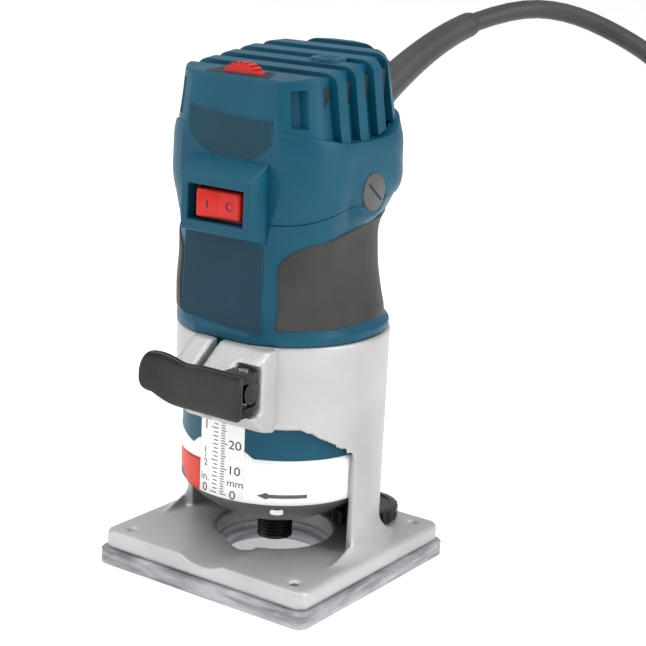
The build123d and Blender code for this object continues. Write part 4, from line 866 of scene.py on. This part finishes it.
def wheel_ripple(turn, z):
    """The knurl, on the profile's outer points only."""
    return knurl(turn, z) * np.array([point[0] > 14.8 for point in wheel_profile])[:, None]


piece("adjuster_wheel", [revolved(wheel_profile, (WHEEL_X, WHEEL_Y), around=240, ripple=wheel_ripple)],
      black_gloss,
      "thumbwheel", ["thumbwheel"], sharp=35, recalculate=True)


# ---------------------------------------------------------------- clamp lever
def lever_ring(x, y, low_z, high_z, thick, count=32):
    """A cross-section of the lever: a rounded upright bar, as a superellipse."""
    turn = np.linspace(0, 2 * pi, count, endpoint=False)
    power = 0.5
    dy = np.sign(np.cos(turn)) * np.abs(np.cos(turn)) ** power * thick / 2
    dz = np.sign(np.sin(turn)) * np.abs(np.sin(turn)) ** power * (high_z - low_z) / 2
    return np.stack([np.full(count, x), y + dy, (low_z + high_z) / 2 + dz], 1)


LEVER_INNER_Y = -56.3
lever_x = np.concatenate([[24.3, 24.1, 23.4], np.linspace(22, -14, 40),
                          -14 - 4.5 * np.sin(np.linspace(0.1, 1.55, 12))])
lever_bend = np.clip(-2 - lever_x, 0, None) ** 2 / 64.0
lever_high = 93.4 + 2.0 * smooth_step(-lever_x, 0, 13) - 0.6 * np.exp(-((lever_x + 1) / 5) ** 2)
lever_low = 75.8 + 1.0 * smooth_step(-lever_x, 2, 14)
tip = np.clip((-14 - lever_x) / 4.6, 0, 0.9999)
tip_half = np.sqrt(1 - tip ** 2)
lever_mid = (lever_high + lever_low) / 2
lever_high, lever_low = (lever_mid + (lever_high - lever_mid) * (0.1 + 0.9 * tip_half),
                         lever_mid + (lever_low - lever_mid) * (0.1 + 0.9 * tip_half))
round_low = 7.0 * np.clip((-lever_x - 4) / 14, 0, 1) ** 2.4
lever_low = lever_low + round_low * (1 - tip)
lever_thick = 3.2 + 0.9 * np.exp(-((lever_x + 15) / 6) ** 2) - 1.8 * tip ** 2
end_thin = np.concatenate([[1.2, 0.5, 0.1], np.zeros(len(lever_x) - 3)])
lever_rings = [lever_ring(x, LEVER_INNER_Y - 1.6 - bend, low + thin, high - thin, thick - thin)
               for x, bend, low, high, thick, thin in zip(lever_x, lever_bend, lever_low, lever_high,
                                                          lever_thick, end_thin)]
cheek_turn = np.linspace(0, pi, 16)
cheek_outline = np.concatenate([
    np.stack([19.5 + 4.7 * np.cos(cheek_turn), CLAMP_Y + 4.7 * np.sin(cheek_turn)], 1),
    [(14.8, LEVER_INNER_Y - 0.8), (24.2, LEVER_INNER_Y - 0.8)]])
cheeks = [prism(cheek_outline, 76.8, 80.2, 2), prism(cheek_outline, 89.4, 92.8, 2)]
piece("cam_lever", [loops(*lever_rings)] + cheeks, black_gloss, "lever", ["clamp_lever"],
      bevel=0.6, segments=3, sharp=40, recalculate=True)

# ---------------------------------------------------------------- depth scale label
LABEL_R = MOTOR_R + 0.02


def on_label(outline, lift=0.0):
    """Points (x along the front, z) put on the label's cylinder, x measured straight across."""
    outline = np.asarray(outline, float)
    radius = LABEL_R + lift
    x = np.clip(outline[..., 0], -radius, radius)
    return np.stack([x, -np.sqrt(np.clip(radius ** 2 - x ** 2, 0, None)), outline[..., 1]], -1)


def label_strip(start_deg, end_deg, low, high, lift=0.0):
    """A strip of film: columns by angle from the front, each from low(x) to high(x)."""
    count = max(int(abs(end_deg - start_deg) / 1.2), 3)
    angle = np.radians(np.linspace(start_deg, end_deg, count))
    radius = LABEL_R + lift
    x, y = radius * np.sin(angle), -radius * np.cos(angle)
    share = np.linspace(0, 1, 8)[:, None]
    bottom = low(x) if callable(low) else np.full(count, low)
    top = high(x) if callable(high) else np.full(count, high)
    z = bottom + share * (top - bottom)
    return sheet(np.stack([np.broadcast_to(x, z.shape), np.broadcast_to(y, z.shape), z], -1))


def degrees_at(x):
    return float(np.degrees(np.arcsin(x / LABEL_R)))


left_x, right_x = -9.6, 10.6


def window_edge(x):
    """Upper edge of the white band, right of the scale."""
    return np.interp(x, [right_x, 14.0], [56.6, 54.0])


def left_edge(x):
    """Upper edge of the white band, left of the scale."""
    return np.interp(x, [-26.5, -14.6, -10.6], [56.6, 54.2, 57.4])


def red_top(x):
    """Upper edge of the red patch."""
    return np.interp(x, [-37, -27.3, left_x], [48.2, 48.2, 49.4])


def red_low(x):
    """Lower edge of the red patch."""
    return np.interp(x, [-37, -24.2, -18.7], [42, 41.0, 36.6])


label_parts = [
    label_strip(degrees_at(left_x), degrees_at(right_x), MOTOR_BOTTOM_Z, 92.0),
    label_strip(degrees_at(right_x), 88, MOTOR_BOTTOM_Z, window_edge),
    label_strip(-88, degrees_at(left_x), red_top, left_edge),
]
piece("depth_label", label_parts, label_film, "motor", ["scale_label"], wall=0.12, sharp=50)
piece("depth_label_red", [label_strip(-88, degrees_at(left_x), red_low, red_top)], label_red, "motor",
      wall=0.12, sharp=50)

INK_LIFT = 0.05
ticks = []


def tick(x0, x1, z, thick=0.34):
    x = np.linspace(x0, x1, 4)
    outline = np.concatenate([np.stack([x, np.full(4, z - thick / 2)], 1),
                              np.stack([x, np.full(4, z + thick / 2)], 1)[::-1]])
    return loops(on_label(outline, -0.05), on_label(outline, INK_LIFT))


SCALE_ZERO_Z = 37.9
for sixteenth in range(0, 34):
    length = 3.1 if sixteenth % 8 == 0 else 2.5 if sixteenth % 2 == 0 else 1.9
    ticks.append(tick(-0.6 - length, -0.6, SCALE_ZERO_Z + sixteenth * 25.4 / 16))
for millimetre in range(0, 52):
    length = 2.9 if millimetre % 10 == 0 else 2.3 if millimetre % 5 == 0 else 1.7
    ticks.append(tick(0.9, 0.9 + length, SCALE_ZERO_Z + millimetre))
piece("scale_ticks", ticks, label_ink, "motor", recalculate=True)


def arrow_low(x):
    """Lower edge of the arrow."""
    return np.where(x < 19.5, 40.0 - (x - 15.9) * 0.42, 39.3)


def arrow_high(x):
    """Upper edge of the arrow."""
    return np.where(x < 19.5, 40.0 + (x - 15.9) * 0.42, 40.7)


piece("direction_arrow", [label_strip(degrees_at(15.9), degrees_at(30.4), arrow_low, arrow_high, 0.1)],
      arrow_ink,
      "motor", wall=0.05)


def lettering(text, size, x, z, spread=1.0):
    """Text made a mesh, bent round the label: across becomes x, up becomes z."""
    curve = bpy.data.curves.new("text", "FONT")
    curve.body = text
    curve.size = size
    curve.align_x = "CENTER"
    curve.align_y = "CENTER"
    holder = bpy.data.objects.new("text", curve)
    bpy.context.scene.collection.objects.link(holder)
    bpy.context.view_layer.update()
    mesh = bpy.data.meshes.new_from_object(holder.evaluated_get(bpy.context.evaluated_depsgraph_get()))
    flat = np.empty(len(mesh.vertices) * 3)
    mesh.vertices.foreach_get("co", flat)
    flat = flat.reshape(-1, 3)
    faces = [list(face.vertices) for face in mesh.polygons]
    bpy.data.objects.remove(holder)
    bpy.data.meshes.remove(mesh)
    return on_label(np.stack([x + flat[:, 0] * spread, z + flat[:, 1]], 1), INK_LIFT), faces


figures = [("0", 4.6, -6.6, 38.6), ("in.", 4.2, -6.6, 42.9), ("1", 3.6, -6.9, 53.4), ("/", 3.6, -6.7, 50.9),
           ("2", 3.6, -6.5, 48.4), ("1", 5.0, -6.6, 63.6), ("0", 4.8, 6.5, 38.2), ("mm", 3.9, 7.4, 43.0),
           ("10", 4.8, 6.8, 47.9), ("20", 4.8, 6.9, 57.9), ("30", 4.8, 6.9, 67.9), ("40", 4.8, 6.9, 77.9)]
piece("scale_figures", [lettering(text, size, x, z, 1.15) for text, size, x, z in figures], label_ink,
      "motor",
      wall=0.04)

# ---------------------------------------------------------------- casting
cast_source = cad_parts["base_casting"].data.copy()


def cast_piece():
    """The casting: the CAD solid rebuilt as one even skin with soft edges."""
    import bmesh
    work = bmesh.new()
    work.from_mesh(cast_source)
    bmesh.ops.remove_doubles(work, verts=work.verts, dist=1e-6)
    work.to_mesh(cast_source)
    work.free()
    made = bpy.data.objects.new("router_base", cast_source)
    bpy.context.scene.collection.objects.link(made)
    remesh = made.modifiers.new("skin", "REMESH")
    remesh.mode = "VOXEL"
    remesh.voxel_size = 0.82 * MM
    remesh.use_smooth_shade = True
    relax = made.modifiers.new("soft", "SMOOTH")
    relax.factor = 0.5
    relax.iterations = 8
    bpy.context.view_layer.update()
    skin = bpy.data.meshes.new_from_object(made.evaluated_get(bpy.context.evaluated_depsgraph_get()))
    made.modifiers.clear()
    made.data = skin
    skin.materials.clear()
    skin.materials.append(cast_metal)
    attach(made, "base")
    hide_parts("base_casting")
    return made


cast_piece()

# ---------------------------------------------------------------- clear sub-base
def square_ring(half, corner, z, count=16):
    """A square with round corners at height z, going round anticlockwise."""
    turn = np.linspace(0, pi / 2, count)
    made = []
    for k in range(4):
        angle = turn + k * pi / 2
        centre = (half - corner) * np.array([[cos(k * pi / 2 + pi / 4), sin(k * pi / 2 + pi / 4)]]) * 2 ** 0.5
        made.append(centre + corner * np.stack([np.cos(angle), np.sin(angle)], 1))
    made = np.concatenate(made)
    return np.column_stack([made, np.full(len(made), z)])


def circle_ring(radius, z, count=64):
    """A circle at height z, its points in step with square_ring's."""
    turn = np.linspace(0, pi / 2, count // 4)
    angle = np.concatenate([turn + k * pi / 2 for k in range(4)])
    angle = angle + 0.0
    return np.column_stack([radius * np.cos(angle), radius * np.sin(angle), np.full(len(angle), z)])


sub_rings = [circle_ring(20.4, 0.0), square_ring(48.9, 3.6, 0.0), square_ring(49.5, 4.0, 0.6),
             square_ring(49.5, 4.0, 5.9),
             square_ring(48.9, 3.6, 6.5), circle_ring(23.2, 6.5), circle_ring(22.9, 6.2),
             circle_ring(22.9, 4.5),
             circle_ring(20.4, 4.5), circle_ring(20.0, 4.1), circle_ring(20.0, 0.4), circle_ring(20.4, 0.0)]
piece("clear_sub_base", [sheet(np.array(sub_rings), wrap=True)], clear_plastic, "base",
      ["sub_base"],
      sharp=30, recalculate=True)

# ---------------------------------------------------------------- floor and light
floor_mesh = bpy.data.meshes.new("floor")
floor_mesh.from_pydata([(-6, -6, 0), (6, -6, 0), (6, 6, 0), (-6, 6, 0)], [], [(0, 1, 2, 3)])
floor_paint = finish_material("floor_paint", (0.84, 0.84, 0.84), (0.86, 0.86, 0.86), 0.9, bump=0.0,
                              patch_mm=400,
                              sockets={"Emission Color": (1.0, 1.0, 1.0, 1.0), "Emission Strength": 0.42})
floor_mesh.materials.append(floor_paint)
floor = bpy.data.objects.new("floor", floor_mesh)
bpy.context.scene.collection.objects.link(floor)

world = bpy.data.worlds.new("studio")
world.use_nodes = True
world.node_tree.nodes["Background"].inputs["Color"].default_value = (1.0, 1.0, 1.0, 1)
world.node_tree.nodes["Background"].inputs["Strength"].default_value = 0.62
bpy.context.scene.world = world
bpy.context.scene.view_settings.view_transform = "Standard"


def area_light(name, place, size, power, target=(0.0, 0.0, 0.1)):
    data = bpy.data.lights.new(name, "AREA")
    data.shape = "RECTANGLE"
    data.size, data.size_y = size
    data.energy = power
    made = bpy.data.objects.new(name, data)
    made.location = place
    made.rotation_euler = (Vector(target) - Vector(place)).to_track_quat("-Z", "Y").to_euler()
    bpy.context.scene.collection.objects.link(made)


area_light("top_softbox", (-0.2, -0.5, 1.6), (1.2, 1.2), 16)
area_light("right_softbox", (1.3, 0.1, 0.8), (0.6, 1.2), 13)
area_light("left_softbox", (-1.2, -1.0, 0.6), (0.5, 1.2), 5)
